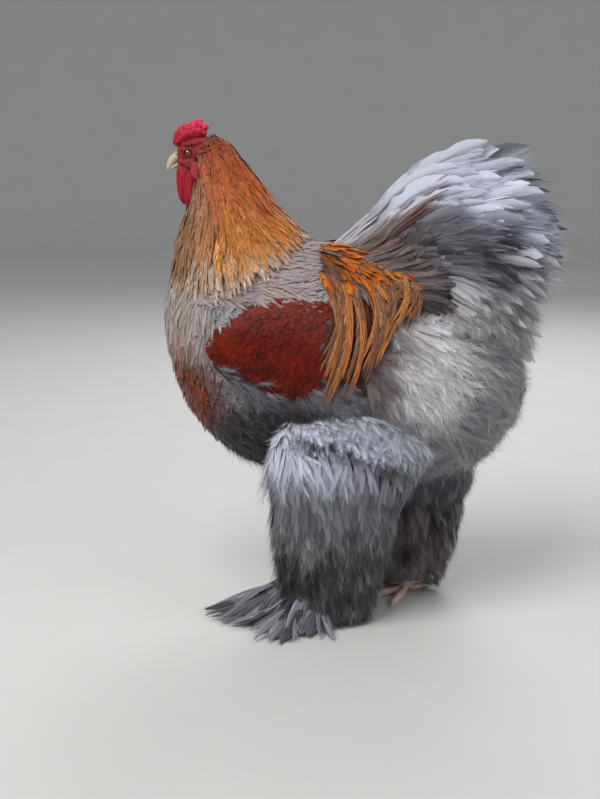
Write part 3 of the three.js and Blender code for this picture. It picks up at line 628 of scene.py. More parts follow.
class Plumes:
    """Feathers along spines. Spine and normal are arrays of feathers, rows and x, y, z."""

    def __init__(self, coat, spine, normal, places, draw):
        self.coat = coat
        self.spine = spine
        self.normal = normal
        self.places = places
        self.draw = draw
        self.ahead = unit(np.gradient(spine, axis=1))
        self.across = unit(np.cross(self.ahead, normal))

    def vanes(self, width, profile, *, columns=3, chevron=0.5, cup=0.12, roll=0.0, fray=0.12, **paint):
        """Adds one vane per spine, a strip whose edges point forward by chevron and bend down by cup."""
        draw, ahead = self.draw, self.ahead
        count, rows = self.spine.shape[:2]
        s = np.linspace(0, 1, rows)
        turn = np.broadcast_to(np.asarray(roll, float), (count,))[:, None, None]
        across = unit(self.across * np.cos(turn) + np.cross(ahead, self.across) * np.sin(turn))
        face = np.cross(across, ahead)
        c = np.linspace(-1, 1, columns)
        half = (width / 2)[:, None] * profile(s)
        ragged = 1 + fray * draw.normal(size=(count, rows, columns)) * np.abs(c)
        sideways = half[..., None] * c * ragged
        forward = half[..., None] * np.abs(c) * chevron * (0.4 + 0.6 * s)[:, None]
        upward = -cup * half[..., None] * c**2
        points = (
            self.spine[:, :, None]
            + across[:, :, None] * sideways[..., None]
            + ahead[:, :, None] * forward[..., None]
            + face[:, :, None] * upward[..., None]
        )
        length = np.linalg.norm(np.diff(self.spine, axis=1), axis=-1).sum(1)
        rim_share = 0.75 * smooth(0.35, 1, np.abs(c)) + 0.25 * smooth(0.85, 1, s)[None, :, None]
        tint = painted(draw, s[None, :, None], c[None, None], rim_share, **paint)
        offset = draw.uniform(0, 900, (count, 1, 1))
        lengthwise = length[:, None, None] * s[:, None] - np.abs(sideways) * 0.9
        vane = np.stack([np.broadcast_to(sideways + offset, points.shape[:3]), lengthwise + offset], -1)
        patch = np.stack(np.broadcast_arrays(PATCH / 2 * c[None, :], PATCH * (s[:, None] - 0.5)), -1)
        faces = np.arange(count)[:, None, None] * rows * columns + grid_faces(rows, columns)
        self.coat.put(points, faces.reshape(-1, 4), tint, vane, self.places[:, None, None] + patch)

    def at(self, values, share):
        """Values along the spines, at shares of their length."""
        place = np.clip(share, 0, 1) * (values.shape[1] - 1)
        i = np.minimum(place.astype(int), values.shape[1] - 2)
        w = (place - i)[..., None]
        n = np.arange(len(values))[:, None, None]
        return values[n, i] * (1 - w) + values[n, i + 1] * w

    def barbs(self, width, profile, *, barbs, reach=0.3, loose=0.2, start=0.08, fine=0.5, **paint):
        """Adds loose barbs, thin points that spring from both sides of each spine and lean forward."""
        draw, spine = self.draw, self.spine
        count = len(spine)
        s = np.linspace(start, 0.97, barbs)[None, :, None]
        s = np.clip(s + draw.uniform(-0.4, 0.4, (count, barbs, 2)) / barbs, 0.0, 0.99)
        hand = np.array([-1.0, 1.0])
        half = (width / 2)[:, None, None] * profile(s) * draw.uniform(0.75, 1.2, s.shape)
        base = self.at(spine, s - fine / barbs)
        after = self.at(spine, s + fine / barbs)
        beyond = np.maximum(s + reach - 1, 0)[..., None]
        length = np.linalg.norm(spine[:, -1] - spine[:, 0], axis=-1)[:, None, None, None]
        tip = self.at(spine, s + reach) + self.at(self.ahead, s) * beyond * length * 0.8
        tip = tip + self.at(self.across, s) * (hand * half)[..., None]
        tip = tip + self.at(self.normal, s) * (half * loose * draw.normal(size=s.shape))[..., None]
        c = np.stack([0 * s, 0 * s, hand + 0 * s], 3)
        along = np.stack([s, s, np.minimum(s + reach, 1)], 3)
        tint = painted(draw, along, c, 0.85 * smooth(0.3, 1.0, np.abs(c)), **paint)
        offset = draw.uniform(0, 900, (count, 1, 1, 1))
        vane = np.stack([c * half[..., None] + offset, along * length + offset], -1)
        bake = self.places[:, None, None, None] + np.stack([PATCH / 2 * c, PATCH * (along - 0.5)], -1)
        faces = np.arange(count * barbs * 2 * 3).reshape(-1, 3)
        self.coat.put(np.stack([base, after, tip], 3), faces, tint, vane, bake)


# Steps that fill a square evenly: 1 / p and 1 / p**2, where p**3 = p + 1
EVEN_STEPS = (0.7548776662466927, 0.5698402909980532)


def scattered(surface, a_range, b_range, spacing, seed, density=None):
    """Even places on a surface, about spacing apart; density is the share to keep at a place."""
    a_grid, b_grid = np.meshgrid(np.linspace(*a_range, 40), np.linspace(*b_range, 60))
    largest = np.linalg.norm(np.cross(*surface.slopes(a_grid, b_grid)), axis=-1).max()
    span = (a_range[1] - a_range[0]) * (b_range[1] - b_range[0])
    count = int(largest * span / spacing**2)
    i = np.arange(count)
    a = a_range[0] + (a_range[1] - a_range[0]) * ((0.5 + seed * 0.137 + i * EVEN_STEPS[0]) % 1)
    b = b_range[0] + (b_range[1] - b_range[0]) * ((0.5 + seed * 0.291 + i * EVEN_STEPS[1]) % 1)
    area = np.linalg.norm(np.cross(*surface.slopes(a, b)), axis=-1) / largest
    draw = np.random.default_rng(seed)
    share = area if density is None else area * density(a, b)
    kept = draw.random(count) < share
    return a[kept], b[kept]


def risen(surface, places, low, high, power):
    """Spines over places on a surface, from low above it at the root to high at the tip, and normals."""
    s = np.linspace(0, 1, places[0].shape[1])
    normal = surface.normal(*places)
    height = lerp(np.asarray(low)[..., None], np.asarray(high)[..., None], s**power)
    return surface.place(*places) + normal * height[..., None], normal


def bent(surface, a, b, da, db, rows, low, high, power=1.0):
    """Spines from a and b over da and db of a surface."""
    s = np.linspace(0, 1, rows)
    places = a[:, None] + da[:, None] * s, b[:, None] + db[:, None] * s
    return risen(surface, places, low, high, power)


def laid(surface, a, b, way, length, rows, low, high, power=1.0):
    """Spines that follow a surface along a way."""
    da, db = surface.steps(a, b, unit(way) * length[:, None])
    return bent(surface, a, b, da, db, rows, low, high, power)


def marched(surface, a, b, way, length, rows):
    """Even steps from a and b along a way in space, which stay clear of the surface's poles."""
    along, around = [a], [b]
    for _ in range(rows - 1):
        da, db = surface.steps(along[-1], around[-1], unit(way) * (length / (rows - 1))[:, None])
        along.append(np.clip(along[-1] + np.clip(da, -20, 20), -89.3, 89.3))
        around.append(around[-1] + np.clip(db, -60, 60))
    return np.stack(along, -1), np.stack(around, -1)


def draped(surface, a, b, way, length, rows, low, high, power=1.0):
    """Like laid, but in even steps, which also follow the way near a surface's poles."""
    return risen(surface, marched(surface, a, b, way, length, rows), low, high, power)


def bake_places(surface, a, b):
    u, v = surface.unwrap(a, b)
    return np.stack([np.clip(u, 0.004, 0.996), np.clip(v, 0.004, 0.996)], -1)


def mixed(first, second, share):
    return lerp(first, second, np.asarray(share)[..., None])


def paled(colour, share):
    """Paler edges for feathers, less so for dark ones."""
    bright = np.clip(colour.mean(-1, keepdims=True) / 0.22, 0, 1)
    return lerp(colour, PALE_LAVENDER, share * bright)


def heading(like, x, z, y=0.0):
    """Ways in space, one for each value of an array."""
    return np.stack([x + 0 * like, y + 0 * like, z + 0 * like], -1)


def along_surface(way, normal):
    return unit(way - (way * normal).sum(-1, keepdims=True) * normal)


def swerved(way, normal, draw, spread):
    """Ways turned aside at random."""
    return way + np.cross(normal, way) * draw.normal(0, spread, len(way))[:, None]


def arc(root, middle, tip, rows):
    """Curves from root to tip that are drawn towards middle."""
    s = np.linspace(0, 1, rows)[None, :, None]
    return (1 - s) ** 2 * root[:, None] + 2 * s * (1 - s) * middle[:, None] + s * s * tip[:, None]


# Body: contour feathers from the breast to the fluff under the tail


def near(points, middle, reach):
    """1 at the middle and less with distance, by the reach in x, y and z, on both sides alike."""
    away = points - np.array(middle)
    away[..., 1] = np.abs(points[..., 1]) - abs(middle[1])
    return np.exp(-((away / np.array(reach)) ** 2).sum(-1))


fold_height = through([(-115, 297), (-89, 290), (-56, 286), (-7, 270), (21, 258), (52, 246)])


def fold_shade_and_light(colour, points):
    """Painted shade in the fold where the flank's fluff rolls over the leg; the pale roll above gets painted
    light.
    """
    away = points[:, 2] - fold_height(points[:, 0])
    x, y = points[:, 0], np.abs(points[:, 1])
    held = smooth(-125, -100, x) * smooth(66, 40, x) * smooth(60, 85, y)
    roll = smooth(8, 24, away) * smooth(84, 50, away) * smooth(-100, -60, x)
    # Painted light on the roll above the fold
    colour = mixed(colour, linear(150, 150, 160), 0.6 * held * roll)
    # Painted shade in the fold
    return mixed(colour, CHARCOAL * 0.2, 0.97 * held * np.exp(-(((away + 3) / 9) ** 2)))


def rusty_share(points):
    """The rust of the lower breast."""
    return np.clip(1.8 * near(points, (-272, 35, 350), (48, 90, 58)), 0, 1)


def body_colour(points):
    """Grey, paler on the shoulders and breast, rusty low on the chest and warm white behind the wings;
    painted shade low on the sides, under the saddle, on the belly and in the fold.
    """
    cloud = 0.5 + 0.5 * ripple(points, 70, 5)
    colour = mixed(SLATE, GREY, np.clip(0.1 + 0.6 * cloud, 0, 1))
    shoulder = near(points, (-120, 95, 500), (120, 90, 55))
    colour = mixed(colour, DOVE, np.clip(1.2 * shoulder, 0, 1))
    chest = smooth(-235, -272, points[:, 0]) * smooth(350, 400, points[:, 2])
    colour = mixed(colour, DOVE, 0.9 * chest)
    rusty = mixed(RUST, UMBER, np.clip(0.4 + 0.5 * ripple(points, 18, 7), 0, 1))
    colour = mixed(colour, rusty, rusty_share(points))
    shaded_side = near(points, (-120, 120, 290), (120, 60, 55))
    colour = mixed(colour, CHARCOAL, np.clip(1.1 * shaded_side, 0, 0.85))
    # Painted shade under the hanging saddle feathers
    shade_under_saddle = near(points, (-24, 125, 390), (66, 50, 70))
    colour = mixed(colour, UMBER * 0.6, np.clip(1.4 * shade_under_saddle, 0, 1))
    patch = near(points, (58, 125, 392), (44, 50, 60))
    colour = mixed(colour, WARM_WHITE, np.clip(1.9 * patch, 0, 1))
    rear = smooth(110, 180, points[:, 0]) * smooth(440, 350, points[:, 2])
    colour = mixed(colour, GREY * 1.15, 0.8 * rear)
    # Painted shade on the underside of the belly
    belly = smooth(352, 318, points[:, 2]) * smooth(-50, -100, points[:, 0])
    belly = belly * smooth(-262, -225, points[:, 0])
    return fold_shade_and_light(mixed(colour, CHARCOAL * 0.45, 0.85 * belly), points)


def body_way(points, normal):
    front = smooth(-175, -285, points[:, 0])
    rear = smooth(110, 215, points[:, 0])
    down = 0.3 + 0.9 * front + 1.3 * rear
    return along_surface(heading(down, 1, -down), normal)


def hidden_share(points):
    """The share of body feathers kept: few lie under the wings, the saddle and the cape."""
    x, y, z = points[..., 0], np.abs(points[..., 1]), points[..., 2]
    wing = smooth(-215, -190, x) * smooth(-30, -60, x) * smooth(350, 370, z) * smooth(460, 440, z)
    wing = wing * smooth(90, 110, y)
    cape = smooth(-120, -150, x) * smooth(500, 520, z)
    return 1 - 0.8 * np.maximum(wing, cape)


def body_feathers(coat, a, b, seed, size=1.0, rise=(2.0, 5.5)):
    draw = np.random.default_rng(seed)
    points, normal = torso.place(a, b), torso.normal(a, b)
    count = len(a)
    front = smooth(-200, -280, points[:, 0])
    length = (27 + 6 * front) * size * draw.uniform(0.8, 1.25, count)
    width = (15 - 4 * front) * size**0.5 * draw.uniform(0.8, 1.2, count)
    way = body_way(points, normal)
    way = swerved(way, normal, draw, 0.16)
    spine, normals = draped(torso, a, b, way, length, 6, -3.0, draw.uniform(*rise, count))
    colour = body_colour(points)
    rim = paled(colour, 0.28 * (1 - rusty_share(points))[:, None])
    places = bake_places(torso, a, b)
    plumes = Plumes(coat, spine, normals, places, draw)
    plumes.vanes(width, ROUNDED, fray=0.14, cup=0.2, base=colour, streak=colour * 0.6, streak_width=0.25,
                 rim=rim, root=0.5, vary=0.14)
    plumes.barbs(width * 1.2, ROUNDED, barbs=5, start=0.35, fine=0.3, base=rim, root=0.7)


def body_coats():
    def kept(a, b):
        return hidden_share(torso.place(a, b))

    for name, a_range, seed in (("breast_feathers", (-88, -22), 3), ("flank_feathers", (-22, 42), 4)):
        coat = Coat(name, soft_vanes)
        a, b = scattered(torso, a_range, (0, 360), 8.0, seed, kept)
        body_feathers(coat, a, b, seed)
        coat.made(slot="slate")


def wisps(coat, a, b, draw, way, length, width, colour, low, high, rim):
    """Long, soft, narrow feathers that lie over the body in loose waves."""
    count = len(a)
    normal = torso.normal(a, b)
    way = along_surface(way, normal)
    aside = np.cross(normal, way)
    way = way + aside * (0.09 * ripple(torso.place(a, b), 50, 16) + draw.normal(0, 0.07, count))[:, None]
    spine, normals = draped(torso, a, b, way, length, 10, low, high, 0.7)
    s = np.linspace(0, 1, 10)
    lock = 3 * ripple(torso.place(a, b), 45, 14)
    wave = 0.06 * np.sin(4.5 * s + (lock + draw.uniform(0, 1.5, count))[:, None])
    wave = wave + (0.1 * lock / 3 + draw.normal(0, 0.07, count))[:, None] * s**2
    spine = spine + aside[:, None] * (wave * length[:, None])[..., None]
    places = bake_places(torso, a, b)
    plumes = Plumes(coat, spine, normals, places, draw)
    plumes.vanes(width, POINTED, chevron=1.0, cup=0.2, roll=draw.normal(0, 0.2, count), base=colour,
                 streak=colour * 0.76, rim=rim, root=0.75, vary=0.11)
    plumes.barbs(width * 1.9, POINTED, barbs=13, reach=0.24, loose=0.25, start=0.1, fine=0.12, base=rim,
                 root=0.85, vary=0.06)


def mantle_coat():
    """Long soft feathers that flow from under the cape over the shoulders to the back."""
    coat = Coat("mantle_feathers", soft_vanes)
    for side in (LEFT, RIGHT):
        a, b = scattered(torso, (-64, -12), (4, 64), 5.1, 11)
        draw = np.random.default_rng(11 + side)
        b = side * b
        count = len(a)
        low = smooth(30, 64, np.abs(b))
        way = heading(a, 1, lerp(0.1, -0.35, low))
        length = lerp(80, 46, low) * draw.uniform(0.7, 1.15, count) * lerp(1, 0.45, smooth(-30, -12, a))
        width = draw.uniform(2.8, 4.6, count)
        cool = np.clip(0.5 + 0.6 * ripple(torso.place(a, b), 40, 15) + draw.normal(0, 0.2, count), 0, 1)
        colour = mixed(DOVE, linear(156, 154, 168), cool)
        warm = np.clip(0.3 + 0.5 * ripple(torso.place(a, b), 30, 17), 0, 1)
        colour = mixed(colour, CREAM, 0.7 * warm * draw.uniform(0.2, 1, count))
        colour = mixed(colour, UMBER, 0.3 * draw.uniform(0, 1, count) ** 3)
        rim = mixed(colour, WARM_WHITE, 0.4) * [0.88, 0.79, 0.8]
        colour = colour * [0.88, 0.79, 0.8]
        wisps(coat, a, b, draw, way, length, width, colour, 0, draw.uniform(4, 9, count), rim)
    coat.made(slot="slate")


def chest_coat():
    """Long soft feathers that hang from under the cape down the breast."""
    coat = Coat("chest_feathers", soft_vanes)
    for side in (LEFT, RIGHT):
        a, b = scattered(torso, (-88, -48), (0, 112), 5.6, 13)
        draw = np.random.default_rng(13 + side)
        b = side * b
        points = torso.place(a, b)
        kept = (points[:, 2] > 360) | (draw.random(len(a)) < 0.55)
        a, b, points = a[kept], b[kept], points[kept]
        count = len(a)
        back = smooth(-250, -170, points[:, 0])
        way = heading(a, 0.12 + 0.6 * back, -1 + 0.25 * back)
        length = draw.uniform(42, 70, count)
        shorter = np.minimum(length, np.maximum(points[:, 2] - 384, 26))
        length = np.where(points[:, 2] > 410, shorter, length * 0.6)
        width = draw.uniform(3, 5, count)
        path = marched(torso, a, b, along_surface(way, torso.normal(a, b)), 0.7 * length, 8)
        lower = torso.place(path[0][:, -1], path[1][:, -1])
        high = smooth(375, 425, lower[:, 2])
        colour = mixed(body_colour(lower), DOVE, draw.uniform(0, 0.8, count) * high)
        colour = mixed(colour, CREAM, 0.4 * draw.uniform(0, 1, count) ** 2 * high)
        rim = mixed(colour, WARM_WHITE, 0.25 * high)
        wisps(coat, a, b, draw, way, length, width, colour, 0, draw.uniform(3, 7, count), rim)
    coat.made(slot="slate")


def fluff(coat, surface, a, b, seed, colour, length, width, way, low=-6.0, high=(4, 14)):
    """Downy plumes: a narrow soft vane with long loose barbs."""
    draw = np.random.default_rng(seed)
    count = len(a)
    normal = surface.normal(a, b)
    way = along_surface(way, normal)
    way = swerved(way, normal, draw, 0.28)
    length = length * draw.uniform(0.7, 1.3, count)
    tip = draw.uniform(high[0], high[1], count)
    spine, normals = laid(surface, a, b, way, length, 6, low, tip, 0.8)
    width = width * draw.uniform(0.8, 1.2, count)
    rim = paled(colour, 0.15)
    places = bake_places(surface, a, b)
    plumes = Plumes(coat, spine, normals, places, draw)
    plumes.vanes(width * 0.42, POINTED, fray=0.2, cup=0.25, base=colour, rim=rim, root=0.72, vary=0.08)
    plumes.barbs(width * 1.2, ROUNDED, barbs=16, reach=0.4, loose=0.5, start=0.05, fine=0.17, base=rim,
                 root=0.78, vary=0.08)


def rear_fluff():
    coat = Coat("rear_fluff", downy_vanes)
    a, b = scattered(torso, (40, 89), (0, 360), 6.8, 6)
    points = torso.place(a, b)
    under = smooth(-0.6, -0.92, torso.normal(a, b)[:, 2])
    way = heading(a, 0.35 + 1.2 * under, -1)
    fluff(coat, torso, a, b, 6, body_colour(points), 46.0, 17.0, way, high=(3, 14))
    coat.made(slot="slate")


def flank_fluff():
    """The pale fluff behind the ends of the wings."""
    coat = Coat("flank_fluff", downy_vanes)
    for side in (LEFT, RIGHT):
        a, b = scattered(torso, (4, 46), (60, 122), 6.2, 9)
        b = side * b
        points = torso.place(a, b)
        patch = near(points, (62, 125, 392), (46, 50, 56))
        draw = np.random.default_rng(9 + side)
        kept = draw.random(len(a)) < 0.35 + 1.3 * patch
        a, b, points, patch = a[kept], b[kept], points[kept], patch[kept]
        way = heading(a, 0.7, -0.75)
        fluff(coat, torso, a, b, 9 + side, body_colour(points), 50.0, 18.0, way, low=0.0, high=(9, 22))
    coat.made(slot="slate")


def belly_fluff():
    coat = Coat("belly_fluff", downy_vanes)

    def kept(a, b):
        return smooth(-0.35, -0.6, np.cos(rad(b)))

    a, b = scattered(torso, (-50, 42), (100, 260), 9.5, 8, kept)
    points = torso.place(a, b)
    way = heading(a, 1, -0.6)
    fluff(coat, torso, a, b, 8, body_colour(points), 38.0, 16.0, way, high=(2, 9))
    coat.made(slot="slate")


# Neck: short feathers on the crown grow into the long pointed ones of the cape
face_edge = through(
    [(600, -300), (632, -262), (640, -246), (660, -239), (672, -241), (681, -250), (688, -264)]
)
hackle_end = through([(-26, -17), (-10, 6), (5, 34), (20, 58), (36, 78), (52, 89)])
hackle_width = through([(-26, 3.4), (-10, 4.4), (5, 5.6), (20, 7.0), (60, 8.6)])


def hackle_colour(a, b, points):
    """Rust at the crown, then orange and gold, grey where the cape ends, and tan below the throat."""
    wander = 7 * ripple(points, 26, 12)
    colour = mixed(RUST, ORANGE, smooth(-20, 10, a + wander) * 0.85)
    colour = mixed(colour, GOLD, smooth(8, 40, a + wander) * 0.8)
    front = smooth(0.0, 0.75, -np.cos(rad(b)))
    sides = smooth(-5, 15, a) * smooth(0.9, 0.3, np.cos(rad(b)))
    colour = colour * lerp(1, np.array([0.82, 0.93, 0.95]), sides[:, None])
    colour = mixed(colour, TAN * 0.72, front * smooth(-5, 10, a) * 0.85)
    return mixed(colour, DOVE, 0.8 * smooth(38, 50, a + 0.5 * wander + 8 * front))


# Bands of roots down the neck: from, to, spacing and seed
HACKLE_BANDS = ((-25, -8, 3.1, 21), (-8, 14, 4.2, 22), (14, 34, 5.0, 23), (34, 52, 5.8, 24))


def hackle_band(coat, low, high, spacing, seed):
    draw = np.random.default_rng(seed)
    a, b = scattered(neck, (low, high), (0, 360), spacing, seed)
    points = neck.place(a, b)
    bare = points[:, 0] < face_edge(points[:, 2])
    a, b, points = a[~bare], b[~bare], points[~bare]
    count = len(a)
    back = np.maximum(0, np.cos(rad(b))) ** 2
    end = hackle_end(a) * (1 - 0.24 * back * (np.maximum(hackle_end(a), 0) / 100) ** 2)
    reach = np.maximum(end - a, 4) * draw.uniform(0.85, 1.12, count)
    width = hackle_width(a) * draw.uniform(0.8, 1.2, count)
    sunk = -(1 - neck_core(a)) * neck_half(a) * 0.85 - 1.2
    drift = draw.normal(0, 3.0, count)
    lift = draw.uniform(-2.5, 3, count) * smooth(-26, 6, a)
    spine, normals = bent(neck, a, b, reach, drift, 9, sunk, lift, 0.5)
    start = 5 * ripple(points, 60, 25)[:, None] + draw.uniform(0, 1.5, count)[:, None]
    spine = spine + normals * (2.0 * np.sin(np.linspace(0, 4, 9) + start))[..., None]
    clump = 1 + 0.22 * ripple(np.stack([0.25 * a, b, 0 * a], -1), 9, 26)
    colour = hackle_colour(a, b, points) * clump[:, None]
    front = smooth(0.0, 0.75, -np.cos(rad(b)))
    streak = mixed(colour * 0.55, UMBER, 0.3 + 0.5 * front)
    rim = mixed(colour * 1.1, CREAM, 0.1 + 0.3 * smooth(30, 50, a) + 0.2 * front)
    plumes = Plumes(coat, spine, normals, bake_places(neck, a, b), draw)
    plumes.vanes(width, POINTED, chevron=1.2, fray=0.14, cup=0.25, roll=draw.normal(0, 0.2, count),
                 base=colour, streak=streak, streak_width=0.22, rim=rim, root=0.8, vary=0.14)
    plumes.barbs(width * 1.2, POINTED, barbs=6, reach=0.14, loose=0.15, start=0.35, fine=0.3, base=rim,
                 root=0.9, vary=0.18)


def hackle_coat():
    coat = Coat("hackle", satin_vanes)
    for band in HACKLE_BANDS:
        hackle_band(coat, *band)
    coat.made(slot="gold", stands_for=("neck",))


# Wings
wing_edge = through([(0, -92), (10, -76), (20, -52), (31, -54), (43, -36), (52, 8), (60, 26), (80, 30)])


def wing_fluff(side, surface):
    """Soft grey plumes of the flank that come up over the lower edge of the wing."""
    coat = Coat("wing_fluff_" + SIDE_NAMES[side], downy_vanes)
    a, b = scattered(surface, (8, 92), (-99, 40), 6.0, 44)
    draw = np.random.default_rng(44 + side)
    kept = b < wing_edge(a) - 3 + draw.normal(0, 5, len(a))
    a, b = a[kept], b[kept]
    points = surface.place(a, b)
    count = len(a)
    tone = np.clip(0.4 + 0.5 * ripple(points, 36, 45) + draw.normal(0, 0.12, count), 0, 1)
    colour = mixed(CHARCOAL, linear(128, 124, 134), tone)
    # Painted shade lower down, under the wing
    colour = mixed(colour, CHARCOAL * 0.55, smooth(358, 322, points[:, 2]))
    way = heading(a, 0.85, -0.5)
    fluff(coat, surface, a, b, 46 + side, fold_shade_and_light(colour, points), 34.0, 14.0, way, low=-2.0, high=(3, 8))
    coat.made(slot="slate")


def wing_colour(a, b, points):
    """Mottled red-brown, rusty at the shoulder, dark at the lower and rear edges and grey above them."""
    mottle = 0.4 + 0.4 * ripple(points * [0.5, 1, 1], 22, 9) + 0.2 * ripple(points, 9, 10) - 0.3 * b / 100
    red = mixed(MAHOGANY, DARK_MAHOGANY, np.clip(mottle, 0, 1))
    colour = mixed(red, RUST, 0.3 * near(points, (-212, 110, 420), (26, 60, 34)))
    ragged = 6 * ripple(points, 16, 42)
    edge = wing_edge(a)
    colour = mixed(colour, CHARCOAL, smooth(edge, edge - 14, b + 1.2 * ragged))
    colour = mixed(colour, UMBER * 0.5, smooth(50, 64, a + ragged))
    return mixed(colour, SLATE * 0.8, smooth(42, 50, a + ragged) * smooth(40, 66, b))


def wing_coat(side):
    surface = wing_surface(side)
    name = SIDE_NAMES[side]
    coat = Coat("wing_feathers_" + name, wing_vanes)
    draw = np.random.default_rng(40 + side)
    flights(coat, surface, draw)
    a, b = scattered(surface, (1, 84), (-97, 97), 4.8, 41)
    count = len(a)
    points = surface.place(a, b)
    normal = surface.normal(a, b)
    way = along_surface(heading(a, 0.88, -0.42), normal)
    way = swerved(way, normal, draw, 0.09)
    length = lerp(20, 32, a / 100) * draw.uniform(0.85, 1.15, count)
    length = np.minimum(length, np.maximum((103 - a) * 2.6, 8))
    width = lerp(10, 15, a / 100) * draw.uniform(0.85, 1.15, count)
    spine, normals = laid(surface, a, b, way, length, 6, -2.5, draw.uniform(1.2, 2.8, count))
    colour = wing_colour(a, b, points)
    plumes = Plumes(coat, spine, normals, bake_places(surface, a, b), draw)
    plumes.vanes(width, ROUNDED, fray=0.07, base=colour, streak=colour * 0.75, streak_width=0.25,
                 rim=colour * 1.15, root=0.72)
    plumes.barbs(width * 1.05, ROUNDED, barbs=6, loose=0.1, start=0.5, fine=0.2, base=colour, root=0.8,
                 vary=0.08)
    coat.made(slot="mahogany", stands_for=("wing_" + name,))
    wing_fluff(side, surface)


def flights(coat, surface, draw):
    """The folded flight feathers, one over the other along the lower rear edge of the wing."""
    count = 13
    share = np.linspace(0, 1, count)
    a = lerp(48, 64, share)
    b = lerp(-80, 30, share)
    end_a, end_b = lerp(84, 101, 1 - np.abs(share - 0.35)), lerp(-60, -10, share)
    s = np.linspace(0, 1, 9)
    places = lerp(a[:, None], end_a[:, None], s), lerp(b[:, None], end_b[:, None], s)
    normal = surface.normal(*places)
    height = lerp(-1.0, 2.0, s)[None, :] + 0.35 * np.arange(count)[:, None]
    spine = surface.place(*places) + normal * height[..., None]
    colour = mixed(DARK_SLATE, SLATE, draw.uniform(0, 1, count))
    rim = mixed(colour, DARK_MAHOGANY, 0.3)
    plumes = Plumes(coat, spine, normal, bake_places(surface, a, b), draw)
    plumes.vanes(np.full(count, 27.0), BROAD, columns=7, chevron=0.4, fray=0.04, base=colour,
                 streak=colour * 1.5, streak_width=0.06, rim=rim, root=0.7, vary=0.06)


# Saddle: long pointed feathers that hang from the back over the ends of the wings
def hanging(side, root, tip, bulge, low, high, rows=12):
    """Spines that hang over the flank. Root and tip are x and z, and the middle bows back."""
    control = (root + tip) / 2 + np.stack([bulge, 0.35 * bulge], -1)
    flat = arc(root, control, tip, rows)
    a, b = flank(flat[..., 0], flat[..., 1], side)
    normal = torso.normal(a, b)
    height = lerp(low[:, None], high[:, None], np.minimum(1, 2.4 * np.linspace(0, 1, rows)))
    return torso.place(a, b) + normal * height[..., None], normal, bake_places(torso, a[:, 0], b[:, 0])


def saddle_strands(coat, side, draw, clumps, each, dark, height):
    """Clumps of long narrow feathers, side by side and of unequal lengths."""
    u = np.repeat(((np.arange(clumps) + draw.uniform(0.1, 0.9, clumps)) / clumps) ** 1.45, each)
    short = np.repeat(draw.uniform(0, 1, clumps) ** 1.6, each)
    tone, drift = np.repeat(draw.uniform(0, 1, clumps), each), np.repeat(draw.normal(0, 8, clumps), each)
    depth = np.repeat(draw.uniform(0, 1, clumps), each)
    bulge = np.repeat(draw.uniform(26, 54, clumps), each)
    count = len(u)
    root = np.stack([lerp(-72, 30, u), lerp(520, 502, u) - 30 * depth], -1) + draw.normal(0, 1.8, (count, 2))
    fall = lerp(338, 410, smooth(0.35, 0.75, u)) + 56 * short + 14 * draw.uniform(-0.4, 1, count)
    tip = np.stack([root[:, 0] + lerp(0, 22, u) + drift, fall + 24 * dark], -1)
    tip = tip + draw.normal(0, 1.6, (count, 2))
    low, high = 4 + 0.4 * height + 0 * u, height + draw.uniform(-2.5, 2.5, count)
    spine, normal, places = hanging(side, root, tip, bulge, low, high)
    width = draw.uniform(3.8, 6, count)
    bright = mixed(ORANGE, GOLD, tone)
    bright = mixed(bright, TAN, 0.7 * draw.uniform(0, 1, count) ** 2)
    brown = mixed(UMBER, RUST, 0.4 * tone)
    deep = np.repeat(draw.random(clumps) < 0.3, each) | (draw.random(count) < 0.12)
    colour = mixed(bright, brown * 0.7, dark + (1 - dark) * 0.85 * deep)
    streak = mixed(colour * 0.6, UMBER, 0.5)
    rim = mixed(colour * 1.1, CREAM, 0.22 * (1 - dark))
    plumes = Plumes(coat, spine, normal, places, draw)
    plumes.vanes(width, POINTED, chevron=1.3, fray=0.08, cup=0.3, roll=draw.normal(0, 0.3, count),
                 base=colour, streak=streak, streak_width=0.25, rim=rim, root=0.8, vary=0.14)
    plumes.barbs(width * 1.3, POINTED, barbs=9, reach=0.1, start=0.2, fine=0.2, base=rim, root=0.85,
                 vary=0.12)


def saddle_patches(coat, side):
    """Short feathers over the roots of the long ones, orange in patches."""
    a, b = scattered(torso, (-9, 16), (6, 42), 5.6, 36)
    draw = np.random.default_rng(36 + side)
    b = side * b
    points = torso.place(a, b)
    count = len(a)
    length = draw.uniform(30, 52, count)
    along, around = torso.slopes(a, b)
    lean = lerp(1.5, 0.35, smooth(8, 44, np.abs(b)))
    way = unit(unit(around) * side + unit(along) * lean[:, None]) * length[:, None]
    da, db = torso.steps(a, b, way)
    spine, normals = bent(torso, a, b, da, db, 8, 6, draw.uniform(14, 22, count), 0.7)
    patch = smooth(-0.1, 0.25, ripple(points, 30, 38) + 0.32 - 0.4 * smooth(2, 16, a))
    colour = mixed(UMBER, DOVE * 0.6, draw.uniform(0, 0.5, count))
    colour = mixed(colour, mixed(ORANGE, GOLD, draw.uniform(0, 0.8, count)), patch)
    places = bake_places(torso, a, b)
    width = draw.uniform(5, 8, count)
    plumes = Plumes(coat, spine, normals, places, draw)
    plumes.vanes(width, POINTED, chevron=1.2, fray=0.1, cup=0.3, roll=draw.normal(0, 0.25, count),
                 base=colour, streak=colour * 0.6, streak_width=0.25, rim=colour * 1.15, root=0.7,
                 vary=0.14)
    plumes.barbs(width * 1.3, POINTED, barbs=8, reach=0.14, start=0.2, fine=0.2, base=colour, root=0.8)


def saddle_coat():
    coat = Coat("saddle_feathers", satin_vanes)
    for side in (LEFT, RIGHT):
        # The first layer lies under the second: its own dark brown, and painted shade between the bright
        # strands above it
        saddle_strands(coat, side, np.random.default_rng(31 + side), 60, 1, 1.0, 13.0)
        saddle_strands(coat, side, np.random.default_rng(34 + side), 24, 4, 0.0, 20.0)
        saddle_patches(coat, side)
    coat.made(slot="amber", stands_for=("saddle",))


